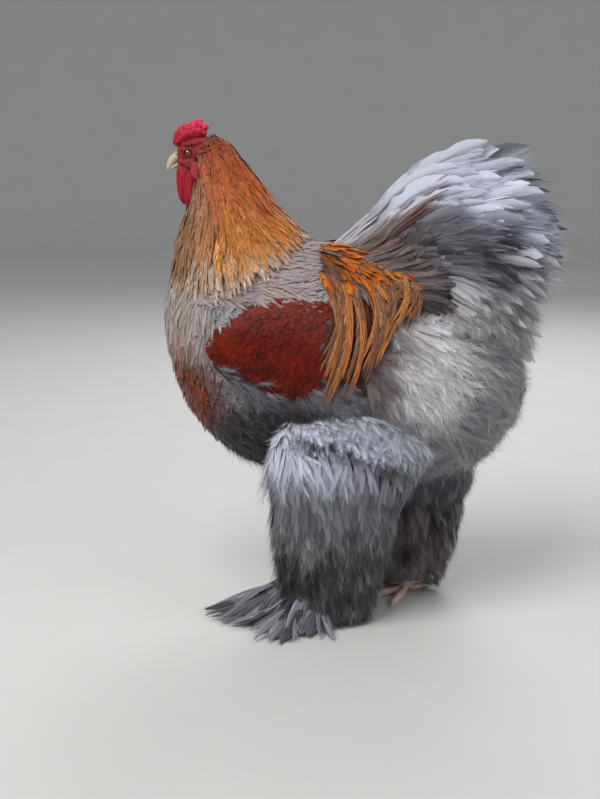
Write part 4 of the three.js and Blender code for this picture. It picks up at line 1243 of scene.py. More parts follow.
def rump_colour(draw, outward, rear):
    """Brown with some orange, darker to the outside and the rear, and pale along the middle."""
    count = len(rear)
    brown = mixed(DOVE * [0.6, 0.5, 0.47], UMBER, draw.uniform(0.1, 0.9, count))
    brown = mixed(brown, ORANGE, 0.7 * (draw.random(count) < 0.14 * (1 - rear)))
    dark = np.clip(0.3 + 0.7 * rear * outward + draw.normal(0, 0.2, count), 0, 1)
    colour = mixed(brown, CHARCOAL, dark)
    pale = smooth(0.3, 0.05, outward) * draw.uniform(0.4, 1, count)
    return mixed(colour, PALE_LAVENDER * 0.85, pale)


def rump_side(coat, side, draw, count):
    outward, rear = draw.uniform(0, 1, count), draw.uniform(0, 1, count)
    a = np.degrees(np.arcsin((lerp(-54, 46, rear) - BODY["middle"]) / BODY["reach"]))
    b = side * lerp(1, 50, outward)
    root = torso.place(a, b) + torso.normal(a, b) * 4
    rise = lerp(lerp(84, 122, rear), -34, outward**0.85) + draw.normal(0, 7, count)
    run = lerp(96, 74, rear) * draw.uniform(0.75, 1.15, count)
    tip_y = np.maximum(np.abs(root[:, 1]) * 0.85, lerp(5, 66, outward**0.7))
    tip = np.stack([root[:, 0] + run, side * tip_y, root[:, 2] + rise * run / 85], -1)
    control = root + np.stack([0.55 * run, side * (4 + 12 * outward), 0.08 * rise + 6 * outward], -1)
    spine = arc(root, control, tip, 11)
    normal = heading(rear, -0.35, lerp(0.9, 0.35, outward), side * lerp(0.45, 1, outward))
    normal = np.broadcast_to(unit(normal)[:, None], spine.shape)
    colour = rump_colour(draw, outward, rear)
    rim = paled(colour, 0.2)
    width = draw.uniform(5.5, 9, count)
    plumes = Plumes(coat, spine, normal, bake_places(torso, a, b), draw)
    plumes.vanes(width, POINTED, chevron=1.0, fray=0.1, cup=0.25, roll=draw.normal(0, 0.35, count),
                 base=colour, streak=colour * 0.6, streak_width=0.25, rim=rim, root=0.7, vary=0.12)
    plumes.barbs(width * 1.4, POINTED, barbs=12, reach=0.14, start=0.15, fine=0.18, base=rim, root=0.8)


def rump_coat():
    """Narrow feathers that stream back and then up from the saddle to the tail."""
    coat = Coat("rump_feathers", soft_vanes)
    for side in (LEFT, RIGHT):
        draw = np.random.default_rng(47 + side)
        rump_side(coat, side, draw, 420)
        back_streaks(coat, side, draw, 190)
    coat.made(slot="amber")


back_line = through(
    [(-110, 531), (-78, 535), (-32, 560), (-14, 574), (14, 592), (31, 608), (50, 623), (90, 648), (130, 662)]
)


def back_streaks(coat, side, draw, count):
    """Long pale feathers that slide along the top of the back and up the front of the tail."""
    depth = draw.uniform(0, 1, count)
    start = lerp(-92, 6, draw.uniform(0, 1, count))
    run = draw.uniform(78, 128, count)
    s = np.linspace(0, 1, 12)
    x = start[:, None] + run[:, None] * s
    z = back_line(x) - (2 + 44 * depth)[:, None] - 12 * (1 - s) ** 2
    z = z + (5 * draw.normal(size=count))[:, None] * s**2
    y = side * ((2 + 40 * depth**0.8)[:, None] + 5 * s * draw.normal(size=count)[:, None])
    spine = np.stack([x, y, z], -1)
    normal = heading(depth, -0.4, 0.7, side * lerp(0.4, 1, depth))
    normal = np.broadcast_to(unit(normal)[:, None], spine.shape)
    pale = mixed(PALE_LAVENDER * 1.1, DOVE, draw.uniform(0, 0.8, count))
    brown = mixed(DOVE * [0.54, 0.46, 0.44], UMBER, draw.uniform(0, 0.9, count))
    brown = mixed(brown, RUST, 0.3 * (draw.random(count) < 0.15))
    colour = mixed(pale, brown, smooth(0.25, 0.7, depth + draw.normal(0, 0.12, count)))
    rim = paled(colour, 0.2)
    places = np.stack([0.45 + 0.05 * side + 0.03 * depth, 0.4 + 0.3 * (start + 92) / 98], -1)
    width = draw.uniform(4, 7, count)
    plumes = Plumes(coat, spine, normal, places, draw)
    plumes.vanes(width, POINTED, chevron=1.0, fray=0.1, cup=0.25, roll=draw.normal(0, 0.3, count),
                 base=colour, streak=colour * 0.7, streak_width=0.25, rim=rim, root=0.7)
    plumes.barbs(width * 1.5, POINTED, barbs=12, reach=0.12, start=0.15, fine=0.15, base=rim, root=0.8,
                 vary=0.08)


# Tail
fan_reach = through([
    (-40, 196), (-27, 217), (-8, 216), (16, 252), (34, 262), (47, 266), (60, 246), (75, 202), (91, 160),
    (110, 128), (128, 105),
])


def tail_spines(side, aim, share, inner, outer, rows):
    """Spines that sweep up and back from the rump and arch over, with their tips on the fan's edge."""
    u = (aim[:, None] + 38) / 100
    root = lerp(np.array([108.0, 446]), np.array([-14.0, 534]), u)
    root = lerp(root, np.array([70.0, 495]), 0.7 * (1 - share)[:, None])
    tip = np.stack([np.cos(rad(aim)), np.sin(rad(aim))], -1) * (fan_reach(aim) * share)[:, None]
    tip = tip + [TAIL["x"], TAIL["z"]]
    reach = tip - root
    middle = (root + tip) / 2 + np.stack([-reach[:, 1], reach[:, 0]], -1) * 0.24
    flat = arc(root, middle, tip, rows)
    tent = lerp(1, 0.5, np.maximum(0, np.sin(rad(aim))))
    y = side * lerp(inner[:, None], (outer * tent)[:, None], np.linspace(0, 1, rows) ** 0.7)
    spine = np.stack([flat[..., 0], y, flat[..., 1]], -1)
    normal = heading(aim, -0.3 * np.sin(rad(aim)), 0.3 * np.cos(rad(aim)), side)
    return spine, np.broadcast_to(unit(normal)[:, None], spine.shape)


def tail_colour(draw, aim, share, count):
    """Locks of dark and pale lavender, own tones with painted light and shade; warmer grey low at the rear,
    painted shade near the rump.
    """
    # The locks are the feathers' own tones and also painted light on their tops and painted shade between
    # them
    lock = ripple(np.stack([1.3 * aim, 190 * share, 0 * aim], -1), 60, 57)
    # Paler towards the top of the fan: its own pale lavender, and painted light
    tone = 0.5 + 0.45 * lock + draw.normal(0, 0.26, count) + 0.6 * smooth(25, 60, aim)
    tone = np.clip(tone + 0.25 * smooth(36, 52, aim), 0, 1)
    light = mixed(linear(186, 188, 198), linear(202, 206, 223), smooth(5, 40, aim))
    colour = mixed(linear(50, 49, 60), light, tone)
    # Painted shade on the short inner feathers near the rump
    inner = smooth(0.72, 0.5, share) * smooth(-10, 25, aim)
    colour = mixed(colour, linear(52, 44, 48), 0.85 * inner)
    warm = smooth(20, -25, aim)
    return mixed(colour, colour.mean(-1, keepdims=True) * np.array([1.42, 1.34, 1.27]), 0.8 * warm)


def tail_places(side, aim, v):
    """Places in the bake map, with each side's fan in its own half."""
    u = (aim + 45) / 115 * 0.46 + (0.02 if side == LEFT else 0.52)
    return np.stack([np.clip(u, 0.01, 0.99), v + 0 * aim], -1)


# Layers of tail feathers from the outermost: count, share of the reach, y at root and tip, and width
TAIL_TIERS = [
    (30, 0.985, 4, 14, 30), (30, 0.95, 9, 26, 30), (30, 0.9, 14, 38, 28), (29, 0.84, 19, 50, 27),
    (28, 0.77, 24, 60, 26), (27, 0.69, 29, 70, 25), (25, 0.6, 33, 77, 24), (22, 0.5, 37, 82, 22),
]


def tail_tier(coat, side, number, count, share, inner, outer, width):
    draw = np.random.default_rng(60 + 10 * number + side)
    aim = np.clip(np.linspace(-38, 66, count) + draw.normal(0, 5, count), -42, 70)
    far = share * draw.uniform(0.84, 1.02, count)
    near_y, far_y = inner + draw.normal(0, 2, count), outer + 5 * draw.normal(size=count)
    spine, normal = tail_spines(side, aim, far, near_y, far_y, 16)
    t = np.linspace(0, 1, 16)
    sway = draw.normal(0, 9, count)[:, None] * t**2
    droop = (draw.uniform(0, 1, count) ** 1.5 * (4 + 5 * number))[:, None] * t**3
    spine = spine + np.stack([0.5 * sway - 0.4 * droop, 0.4 * sway, sway - droop], -1)
    colour = tail_colour(draw, aim, far, count)
    widths = width * draw.uniform(0.5, 1.15, count) * lerp(0.6, 1, smooth(0, 32, aim))
    roll = side * draw.normal(-0.3, 0.4, count)
    plumes = Plumes(coat, spine, normal, tail_places(side, aim, 0.1 + 0.1 * number), draw)
    plumes.vanes(widths, LANCET, columns=9, chevron=1.0, fray=0.17, cup=0.4, roll=roll, base=colour,
                 streak=colour * 0.6, streak_width=0.12, rim=paled(colour, 0.25), root=0.25)


def tail_coat():
    coat = Coat("tail_feathers", soft_vanes)
    for side in (LEFT, RIGHT):
        for number, tier in enumerate(TAIL_TIERS):
            tail_tier(coat, side, number, *tier)
    coat.made(slot="smoke", stands_for=("tail",))


def tail_down():
    """Soft plumes between the tail's feathers, thickest low at the rear."""
    coat = Coat("tail_down", downy_vanes)
    for side in (LEFT, RIGHT):
        draw = np.random.default_rng(58 + side)
        count = 620
        aim = lerp(-40, 66, draw.uniform(0, 1, count) ** 1.6)
        share = draw.uniform(0.42, 0.97, count)
        inner, outer = lerp(42, 8, share), lerp(96, 22, smooth(0.4, 1, share))
        spine, normal = tail_spines(side, aim, share, inner, outer, 14)
        spine, normal = spine[:, 6:], normal[:, 6:]
        swirl = 10 * ripple(spine[:, -1], 60, 59)[:, None] * np.linspace(0, 1, 8) ** 2
        spine = spine + np.stack([0.3 * swirl, 0.2 * swirl, swirl], -1)
        colour = tail_colour(draw, aim, share, count)
        rim = paled(colour, 0.15)
        places = tail_places(side, aim, 0.1 + 0.8 * (1 - share))
        width = draw.uniform(12, 22, count)
        plumes = Plumes(coat, spine, normal, places, draw)
        plumes.vanes(width * 0.5, POINTED, fray=0.15, cup=0.3, roll=draw.normal(0, 0.4, count), base=colour,
                     rim=rim, root=0.7)
        plumes.barbs(width, ROUNDED, barbs=22, reach=0.28, loose=0.3, start=0.05, fine=0.15, base=rim,
                     root=0.75, vary=0.08)
    coat.made(slot="smoke")


def cushion_coat():
    """Soft coverts over the root and the sides of the tail."""
    coat = Coat("tail_coverts", soft_vanes)
    a, b = scattered(tail_core, (-62, 60), (0, 360), 6.4, 51)
    draw = np.random.default_rng(51)
    count = len(a)
    points, normal = tail_core.place(a, b), tail_core.normal(a, b)
    up = smooth(440, 560, points[:, 2])
    way = along_surface(heading(up, 0.9, lerp(-0.5, 0.55, up)), normal)
    way = swerved(way, normal, draw, 0.2)
    length = draw.uniform(40, 74, count)
    width = draw.uniform(9, 15, count)
    spine, normals = laid(tail_core, a, b, way, length, 9, -3, draw.uniform(6, 24, count), 0.8)
    spine[..., 2] -= (0.1 * length)[:, None] * np.linspace(0, 1, 9) ** 2
    colour = tail_colour(draw, lerp(-30, 40, up), lerp(0.45, 0.8, smooth(40, 150, points[:, 0])), count)
    front = smooth(70, 10, points[:, 0])
    colour = mixed(colour, UMBER * 0.8, 0.6 * front * draw.uniform(0.3, 1, count))
    rim = paled(colour, 0.2)
    places = bake_places(tail_core, a, b)
    plumes = Plumes(coat, spine, normals, places, draw)
    plumes.vanes(width, LANCET, columns=5, chevron=0.8, fray=0.08, cup=0.3,
                 roll=draw.normal(0, 0.25, count), base=colour, streak=colour * 0.6, streak_width=0.15,
                 rim=rim, root=0.5)
    plumes.barbs(width * 1.2, LANCET, barbs=11, reach=0.25, loose=0.15, start=0.3, fine=0.15, base=colour,
                 root=0.7, vary=0.08)
    coat.made(slot="smoke")


# Legs
def leg_colour(points, seed):
    """Pale lavender on the upper thigh, with painted light on its top and painted shade lower down, and grey
    with brown clouds further down.
    """
    cloud = 0.5 + 0.5 * ripple(points, 42, seed)
    fine = 0.5 + 0.5 * ripple(points, 15, seed + 1)
    pale = mixed(SLATE, PALE_LAVENDER, np.clip(0.1 + 0.5 * cloud + 0.25 * fine, 0, 1))
    dim = mixed(CHARCOAL * 0.4, GREY * 0.85, np.clip(0.75 * cloud + 0.4 * fine - 0.3, 0, 1))
    # Painted light on the top of the thigh, over its own pale lavender
    pale = mixed(pale, PALE_LAVENDER * 1.1, 0.6 * smooth(235, 285, points[:, 2]))
    # Painted light high on the thigh and painted shade lower down, and darker at the rear
    rear = smooth(0, 50, points[:, 0]) * smooth(200, 260, points[:, 2])
    pale = pale * (lerp(0.64, 1.3, smooth(215, 290, points[:, 2])) * lerp(1, 0.7, rear))[:, None]
    return fold_shade_and_light(mixed(dim * 0.85, pale, smooth(112, 268, points[:, 2])), points)


def thigh_coat(side):
    surface = thigh_surface(side)
    coat = Coat("thigh_feathers_" + SIDE_NAMES[side], downy_vanes)
    a, b = scattered(surface, (150, 340), (0, 360), 7.0, 71)
    points = surface.place(a, b)
    colour = leg_colour(points, 72)
    colour = mixed(colour, leg_colour(points - [0, 0, 25], 72), smooth(255, 235, a))
    way = heading(a, 0.3, -1)
    above = points[:, 2] - fold_height(points[:, 0])
    length = np.where(above > 0, np.clip(0.8 * above + 7, 24, 50), np.where(above > -14, 18.0, 50.0))
    over, under = above > 2, (above <= 2) & (above > -14)
    puffed = np.where(over, 0.26, np.where(under, 0.05, 0.28 * smooth(195, 262, a)))
    for share, seed in ((over, 71), (under, 73), (~(over | under), 75)):
        reach = length[share]
        rise = (-0.08 * reach, puffed[share] * reach)
        places = a[share], b[share]
        fluff(coat, surface, *places, seed + side, colour[share], reach, 15.0, way[share], high=rise)
    coat.made(slot="slate", stands_for=("thigh_" + SIDE_NAMES[side],))


def shank_coat(side):
    surface = shank_surface(side)
    leg = LEGS[side]
    name = SIDE_NAMES[side]
    coat = Coat("shank_feathers_" + name, downy_vanes)
    a, b = scattered(surface, (36, leg["top"]), (0, 360), 6.7, 81)
    draw = np.random.default_rng(81 + side)
    count = len(a)
    points, normal = surface.place(a, b), surface.normal(a, b)
    way = along_surface(heading(a, 0.12, -1), normal)
    way = swerved(way, normal, draw, 0.2)
    inward = smooth(0.2, -0.4, np.sin(rad(b)))
    lowest = lerp(6, leg["bare"], inward)
    length = np.minimum(draw.uniform(46, 74, count), np.maximum((a - lowest) * 1.02, 6))
    width = draw.uniform(10, 17, count)
    low = -0.42 * muff_reach(a) * leg["muff"] * lerp(1, leg["sunk"], smooth(120, 190, a))
    flare = 5 * ripple(points, 50, 84) * smooth(190, 120, a)
    tip = draw.uniform(-5, 5, count) + flare - leg["flat"] * smooth(120, 160, a)
    spine, normals = laid(surface, a, b, way, length, 7, low, tip, 0.7)
    colour = leg_colour(points - [0, 0, 25], 72) * draw.uniform(0.8, 1.2, count)[:, None]
    # The inner side is paler and warmer: painted light that lifts the shade falling there
    colour = colour * lerp(1, np.array([1.6, 1.45, 1.3]), inward[:, None])
    rim = paled(colour, 0.14)
    places = bake_places(surface, a, b)
    plumes = Plumes(coat, spine, normals, places, draw)
    plumes.vanes(width * 0.6, POINTED, chevron=0.8, fray=0.14, cup=0.25, base=colour, rim=rim, root=0.6,
                 vary=0.12)
    plumes.barbs(width * 1.2, ROUNDED, barbs=15, loose=0.3, start=0.1, fine=0.16, base=rim, root=0.7)
    coat.made(slot="smoke", stands_for=("shank_" + name,))
    fan = Coat("toe_feathers_" + name, soft_vanes)
    toe_fan(fan, side, leg)
    fan.made(slot="smoke")


def toe_way(side, angle):
    heading = rad(angle - LEGS[side]["turn"])
    return np.stack([-np.cos(heading), side * np.sin(heading), 0 * heading], -1)


def toe_fan(coat, side, leg):
    """Feathers that spread low over the middle and outer toes and to the outside."""
    draw = np.random.default_rng(91 + side)
    count = 190
    inner, longest, shortest = leg["fan"]
    share = np.linspace(0, 1, count) + draw.normal(0, 0.02, count)
    share = np.clip(share[draw.permutation(count)], 0, 1)
    way = toe_way(side, lerp(inner, 82, share))
    layer = draw.uniform(0, 1, count)
    length = lerp(longest, shortest, share**0.7) * lerp(1.0, 0.48, layer) * draw.uniform(0.8, 1.04, count)
    x, y = shank_middle(side, 34.0)
    start = np.array([x, y, 0.0]) + way * 10
    s = np.linspace(0, 1, 9)[None, :, None]
    end = draw.uniform(3, 8, count)
    high = lerp(26 + 52 * layer[:, None], end[:, None], s[..., 0] ** lerp(0.9, 1.5, layer)[:, None])
    high = high + draw.uniform(4, 16, count)[:, None] * np.sin(np.pi * s[..., 0])
    spine = start[:, None] + way[:, None] * (length[:, None, None] * s)
    twist = 16 * np.sin(13 * share) + draw.normal(0, 13, count)
    bend = np.cross([0, 0, 1.0], way)[:, None] * (twist[:, None, None] * s**2)
    spine = spine + bend
    spine[..., 2] = high
    normal = np.broadcast_to([0.0, 0, 1], spine.shape)
    width = draw.uniform(5, 12, count)
    colour = mixed(DARK_SLATE * 0.8, linear(150, 148, 160), draw.uniform(0, 1, count))
    rim = paled(colour, 0.2)
    places = np.stack([0.05 + 0.9 * share, 0.02 + 0.12 * layer], -1)
    roll = side * draw.normal(0.45, 0.3, count)
    plumes = Plumes(coat, spine, normal, places, draw)
    plumes.vanes(width, ROUNDED, columns=5, chevron=0.7, fray=0.1, cup=0.3, roll=roll, base=colour,
                 streak=colour * 0.5, streak_width=0.2, rim=rim, root=0.35, vary=0.12)
    plumes.barbs(width * 1.5, ROUNDED, barbs=22, reach=0.14, loose=0.3, start=0.15, fine=0.16, base=rim,
                 root=0.5)


# Skin: one body under the coat, with the bare face and feet
def limb_rings(surface, places, inset, sides=36):
    b = np.linspace(0, 360, sides, endpoint=False)
    a_grid, b_grid = np.meshgrid(np.array(places, float), b, indexing="ij")
    return surface.place(a_grid, b_grid) - surface.normal(a_grid, b_grid) * inset


def body_forms():
    forms = [limb_rings(torso, np.linspace(-84, 84, 40), 7.0, 60)]
    a, b = np.meshgrid(np.linspace(-20, 104, 36), np.linspace(0, 360, 48, endpoint=False), indexing="ij")
    forms.append(neck_place(a, b, neck_core(a) * 0.93))
    forms.append(limb_rings(tail_core, np.linspace(-80, 80, 16), 2.0))
    for side in (LEFT, RIGHT):
        forms.append(limb_rings(thigh_surface(side), np.linspace(336, 146, 20), 8.0))
        a, b = np.meshgrid(np.linspace(176, 20, 20), np.linspace(0, 360, 32, endpoint=False), indexing="ij")
        x, y = shank_middle(side, a)
        far = muff_reach(a) * LEGS[side]["muff"] * 0.42
        forms.append(np.stack([x - far * np.cos(rad(b)), y + side * far * 0.62 * np.sin(rad(b)), a], -1))
    return forms


# Rows of x, z, half width and half height
SKULL = [
    (-274, 666, 5, 7), (-271, 666, 9, 12), (-265, 667, 13, 17), (-257, 668.5, 16.5, 22),
    (-245, 669, 19, 25), (-233, 668, 20, 25), (-223, 665, 17, 22), (-211, 661, 8, 11),
]
BEAK = {
    "beak_upper": [
        (-262, 667, 10.2, 8.6), (-266, 666.6, 9.6, 8.2), (-271, 665.5, 8.6, 7.4), (-278, 661.5, 6.6, 6.2),
        (-283, 656, 4.5, 4.6), (-286, 650, 2.5, 2.9), (-286.8, 645.6, 0.7, 0.9),
    ],
    "beak_lower": [
        (-260, 656, 8.6, 4.2), (-264, 655.6, 8.2, 4), (-270, 654.6, 7.2, 3.8), (-276, 652.2, 5.2, 3.1),
        (-281, 649.4, 2.9, 2.1), (-283.6, 647.6, 0.7, 0.6),
    ],
}
COMB_BASE = [
    (-277, 681, 3, 4), (-273, 685, 7.5, 7.5), (-267, 690, 10.5, 9.5), (-256, 695, 12, 11),
    (-246, 697.5, 12, 11), (-238, 698, 9.5, 9), (-232, 697.5, 5, 5),
]

# Rows of beads on the comb: y, count, radius and height above the crest
COMB_BEADS = [
    (0, 8, 4.3, 6.5), (7.2, 7, 3.8, 2.5), (-7.2, 7, 3.8, 2.5), (11, 6, 3.0, -4.5), (-11, 6, 3.0, -4.5),
]


def ring_round_eye(side, across, tall, out, thick):
    angle = np.linspace(0, 2 * np.pi, 41)
    x = EYE[0] + across * np.cos(angle)
    z = EYE[2] + tall * np.sin(angle)
    y = side * (out - 0.02 * (x - EYE[0]) ** 2 - 0.012 * (z - EYE[2]) ** 2)
    return tube(np.stack([x, y, z], -1), thick, 10)


def head_forms():
    forms = [mid_loft(SKULL, 40, 48)]
    for side in (LEFT, RIGHT):
        forms.append(ring_round_eye(side, 6.6, 5.4, 17.4, 1.5))
        forms.append(ring_round_eye(side, 9.8, 8.4, 17.2, 1.0))
        forms.append(ellipsoid((-251, side * 15.5, 683), (14, 4.2, 3.4), -10))
        forms.append(ellipsoid((-252, side * 14.5, 656), (13, 5.4, 7.5), 6))
        forms.append(ellipsoid((-266, side * 11, 659), (7, 4.5, 6)))
    return forms


def skin_tint(points):
    """Dull red on the face, darker round the eye and the ear, and dark grey under the feathers as painted
    shade between them.
    """
    colour = mixed(FACE_RED, LOBE_PINK, np.clip(0.3 + 0.5 * ripple(points, 9, 61), 0, 1) * 0.4)
    socket = near(points, EYE, (7.5, 12, 6.5))
    colour = mixed(colour, FACE_DARK, np.clip(0.9 * socket, 0, 1))
    ear = near(points, (-243, 19, 661), (4, 8, 4.5))
    colour = mixed(colour, FACE_DARK * 0.6, ear)
    below = smooth(663, 648, points[:, 2])
    colour = mixed(colour, LOBE_PINK, 0.5 * below)
    # Painted shade: the skin under the feathers is dark grey, so the gaps between them look shaded
    shade_under_feathers = np.maximum(smooth(-236, -226, points[:, 0]), smooth(640, 628, points[:, 2]))
    return mixed(colour, DARK_SLATE * 0.7, shade_under_feathers)


def hollows(points):
    """1 in the eye sockets, 0.8 in the ears, and 0 outside."""
    depth = np.zeros(len(points))
    for side in (LEFT, RIGHT):
        eye = (points - EYE * [1, side, 1]) / [5.4, 9, 4.3]
        depth = np.maximum(depth, smooth(1.1, 0.75, np.linalg.norm(eye, axis=1)))
        ear = (points - [-243, side * 20, 661]) / [3.4, 6, 4.2]
        depth = np.maximum(depth, 0.8 * smooth(1.15, 0.5, np.linalg.norm(ear, axis=1)))
    return depth


def make_skin():
    body, body_quads = fused("body", body_forms(), 5.0, 3)[:2]
    head, head_quads, head_normals = fused("head", head_forms(), 0.62, 3)
    socket = hollows(head)
    head = head - head_normals * (socket * 3.4)[:, None]
    grain = 0.28 * ripple(head, 2.6, 62) + 0.3 * ripple(head, 6, 63)
    head = head + head_normals * (grain * (1 - socket))[:, None]
    feet = []
    start = len(body) + len(head)
    points, quads = [body, head], [body_quads, head_quads + len(body)]
    tints = [skin_tint(body), skin_tint(head)]
    for side in (LEFT, RIGHT):
        foot, foot_quads = fused("foot", foot_forms(side), 1.1, 2)[:2]
        foot[:, 2] = np.maximum(foot[:, 2], FLOOR_GAP["skin"])
        points.append(foot)
        quads.append(foot_quads + start)
        tints.append(foot_tint(foot))
        start += len(foot)
        feet.append("foot_" + SIDE_NAMES[side])
    tint = np.concatenate(tints)
    skin = mesh_object("skin", np.concatenate(points), [np.concatenate(quads)], bare_skin, tint)
    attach(skin, "root")
    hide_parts("torso", "head", *feet)


# Head pieces
def smooth_piece(name, points, faces, material, tint, nodes):
    piece = mesh_object(name, points, faces, material, tint)
    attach(piece, "root")
    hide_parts(*nodes)


def make_eyes():
    for side in (LEFT, RIGHT):
        middle = EYE * [1, side, 1]
        rings = ellipsoid((0, 0, 0), (EYE_RADIUS, EYE_RADIUS, EYE_RADIUS), rings=40, sides=48)
        points, faces = closed_loft(rings)
        looking = np.array([-0.12, side, 0.03])
        looking = looking / np.linalg.norm(looking)
        turn = np.degrees(np.arccos(np.clip(unit(points) @ looking, -1, 1)))
        bulge = 1 + 0.06 * smooth(40, 0, turn)
        squash = points * bulge[:, None] * [1, 0.8, 1]
        colour = mixed(linear(150, 70, 24), linear(92, 34, 14), smooth(22, 42, turn))
        colour = mixed(colour, linear(8, 6, 6), smooth(21, 18, turn))
        colour = mixed(colour, linear(40, 20, 18), smooth(42, 50, turn))
        name = "eye_" + SIDE_NAMES[side]
        smooth_piece("eyeball_" + SIDE_NAMES[side], squash + middle, faces, eye_gloss, colour, [name])


def beak_point(w, a, angle):
    ridge = 1 + 0.1 * np.maximum(0, np.cos(angle)) ** 6
    side_flat = 1 - 0.06 * np.abs(np.sin(angle)) ** 3
    return w * side_flat, a * ridge


def make_beak():
    for name, rows in BEAK.items():
        points, faces = closed_loft(mid_loft(rows, 40, 40, beak_point if name == "beak_upper" else None))
        if name == "beak_upper":
            slit = near(points, (-272.6, 8.4, 667.4), (3.4, 4, 1.5))
            cap = near(points, (-271.4, 8.6, 669.6), (4.4, 4, 1.6))
            points[:, 1] -= np.sign(points[:, 1]) * (2.2 * slit - 0.9 * cap)
            under = smooth(-0.5, -4.0, points[:, 2] - (667 + (points[:, 0] + 262) * 0.35))
            points[:, 1] *= 1 + 0.03 * under * smooth(-284, -270, points[:, 0])
        tipward = smooth(-268, -286, points[:, 0])
        colour = mixed(HORN_DARK, HORN, np.clip(0.35 + 0.75 * tipward, 0, 1))
        root = smooth(-268, -262, points[:, 0])
        colour = mixed(colour, FACE_RED, 0.55 * root)
        if name == "beak_upper":
            dark = near(points, (-272.6, 8.4, 667.4), (2.6, 4, 1.1))
            colour = mixed(colour, linear(40, 24, 22), np.clip(dark, 0, 1))
        smooth_piece(name + "_horn", points, faces, beak_horn, colour, [name])


def comb_forms():
    crest = through([(-276, 687), (-264, 697.5), (-250, 704), (-238, 704), (-231, 699)])
    forms = [mid_loft(COMB_BASE, 24, 30)]
    draw = np.random.default_rng(101)
    for y, count, size, lift in COMB_BEADS:
        for k in range(count):
            place = k / (count - 1)
            middling = math.sin(math.pi * (k + 0.5) / count)
            x = lerp(-273, -234, place) + draw.normal(0, 0.8)
            radius = size * draw.uniform(0.85, 1.15)
            aside = y * (0.5 + 0.5 * middling) + draw.normal(0, 0.5)
            at = (x, aside, float(crest(x)) + lift + draw.normal(0, 0.7))
            forms.append(ellipsoid(at, (radius, radius * 0.9, radius * (1 + 0.35 * middling)), 0, 14, 18))
    return forms


def make_comb():
    points, quads, normals = fused("comb", comb_forms(), 0.75, 4)
    points = points + normals * (0.35 * ripple(points, 3.4, 102))[:, None]
    high = smooth(694, 712, points[:, 2])
    colour = mixed(WATTLE_RED, COMB_RED, 0.35 + 0.65 * high)
    colour = mixed(colour, linear(236, 92, 118), 0.3 * high * np.clip(0.5 + ripple(points, 5, 103), 0, 1))
    smooth_piece("pea_comb", points, [quads], comb_skin, colour, ["comb"])


def wattle_rings(side):
    """A thin rounded lobe that hangs from the jaw, wavy and folded along its front and rear."""
    down = np.linspace(0, 1, 44)[:, None]
    angle = 2 * np.pi * np.arange(44) / 44
    z = lerp(657, 597.5, down)
    middle = through([(0, -259), (0.25, -257.5), (0.5, -257.5), (0.8, -259), (1, -260.5)])(down)
    half = through([(0, 9), (0.15, 15.5), (0.4, 17), (0.65, 15), (0.86, 10.5), (0.96, 5.5), (1, 0.6)])(down)
    thick = through([(0, 2.6), (0.3, 3.1), (0.7, 3.2), (0.92, 2.4), (1, 0.5)])(down)
    inner = through([(0, 9.5), (0.3, 11.5), (0.7, 13), (1, 13)])(down)
    x = middle + half * np.cos(angle)
    fold = 1.1 * np.sin(x * 0.42 + 2.5 * down) + 0.6 * np.sin(x * 0.9 - 4 * down)
    y = side * (inner + thick * np.sin(angle) + fold * smooth(0.05, 0.4, down))
    return np.stack([x, y, z + 0 * angle], -1)


def lobe_rings(side):
    rings = ellipsoid((-245, side * 19.4, 645.5), (8.2, 3.6, 12.5), -10, 34, 36)
    rings[..., 1] += side * 0.7 * np.sin(rings[..., 0] * 0.8 + rings[..., 2] * 0.2)
    return rings


def make_wattles():
    for side in (LEFT, RIGHT):
        name = SIDE_NAMES[side]
        for title, rings, node, colour_low in (
            ("wattle_skin_", wattle_rings(side), "wattle_", WATTLE_RED),
            ("lobe_skin_", lobe_rings(side), "ear_lobe_", LOBE_PINK),
        ):
            points, faces = closed_loft(rings)
            outward = unit(points - points.mean(0))
            points = points + outward * (0.25 * ripple(points, 3.0, 104))[:, None]
            upper = smooth(640, 655, points[:, 2])
            colour = mixed(colour_low, FACE_RED, 0.5 * upper)
            colour = mixed(colour, COMB_RED, 0.3 * np.clip(0.5 + ripple(points, 8, 105), 0, 1))
            smooth_piece(title + name, points, faces, comb_skin, colour, [node + name])


# Feet
def toe_place(side, toe, far):
    thick = TOE_RADIUS * toe[2] * lerp(1, 0.72, far / 90)
    foot = LEGS[side]["foot"]
    point = np.array([foot[0], side * foot[1], 0.0]) + toe_way(side, np.full_like(far, toe[0])) * far[:, None]
    point[:, 2] = np.maximum(thick * 0.8, 16 - far * 0.9)
    return point


def toe_rings(side, toe):
    length = toe[1]
    share = np.linspace(0, 1, 60)
    joints = through([(0, 1), (0.3, 0.9), (0.5, 1.08), (0.68, 0.88), (0.82, 1.04), (0.93, 0.9), (1, 0.55)])
    middle = toe_place(side, toe, length * share)
    radius = TOE_RADIUS * toe[2] * lerp(1, 0.72, length * share / 90) * joints(share)
    ahead = unit(np.gradient(middle, axis=0))
    aside = unit(np.cross(ahead, [0.0, 0, 1]))
    above = np.cross(aside, ahead)
    angle = 2 * np.pi * np.arange(28) / 28
    scutes = 0.07 * np.abs(np.sin(np.pi * length * share / 5.2))[:, None]
    scutes = scutes * np.maximum(0, np.cos(angle)) ** 0.5
    pads = 0.1 * np.maximum(0, -np.cos(angle)) * np.abs(np.sin(np.pi * length * share / 22))[:, None]
    far = radius[:, None] * (1 + scutes + pads)
    spokes = aside[:, None] * np.sin(angle)[:, None] + above[:, None] * np.cos(angle)[:, None]
    rings = middle[:, None] + spokes * far[..., None]
    rings[..., 2] = np.maximum(rings[..., 2], FLOOR_GAP["skin"])
    return rings


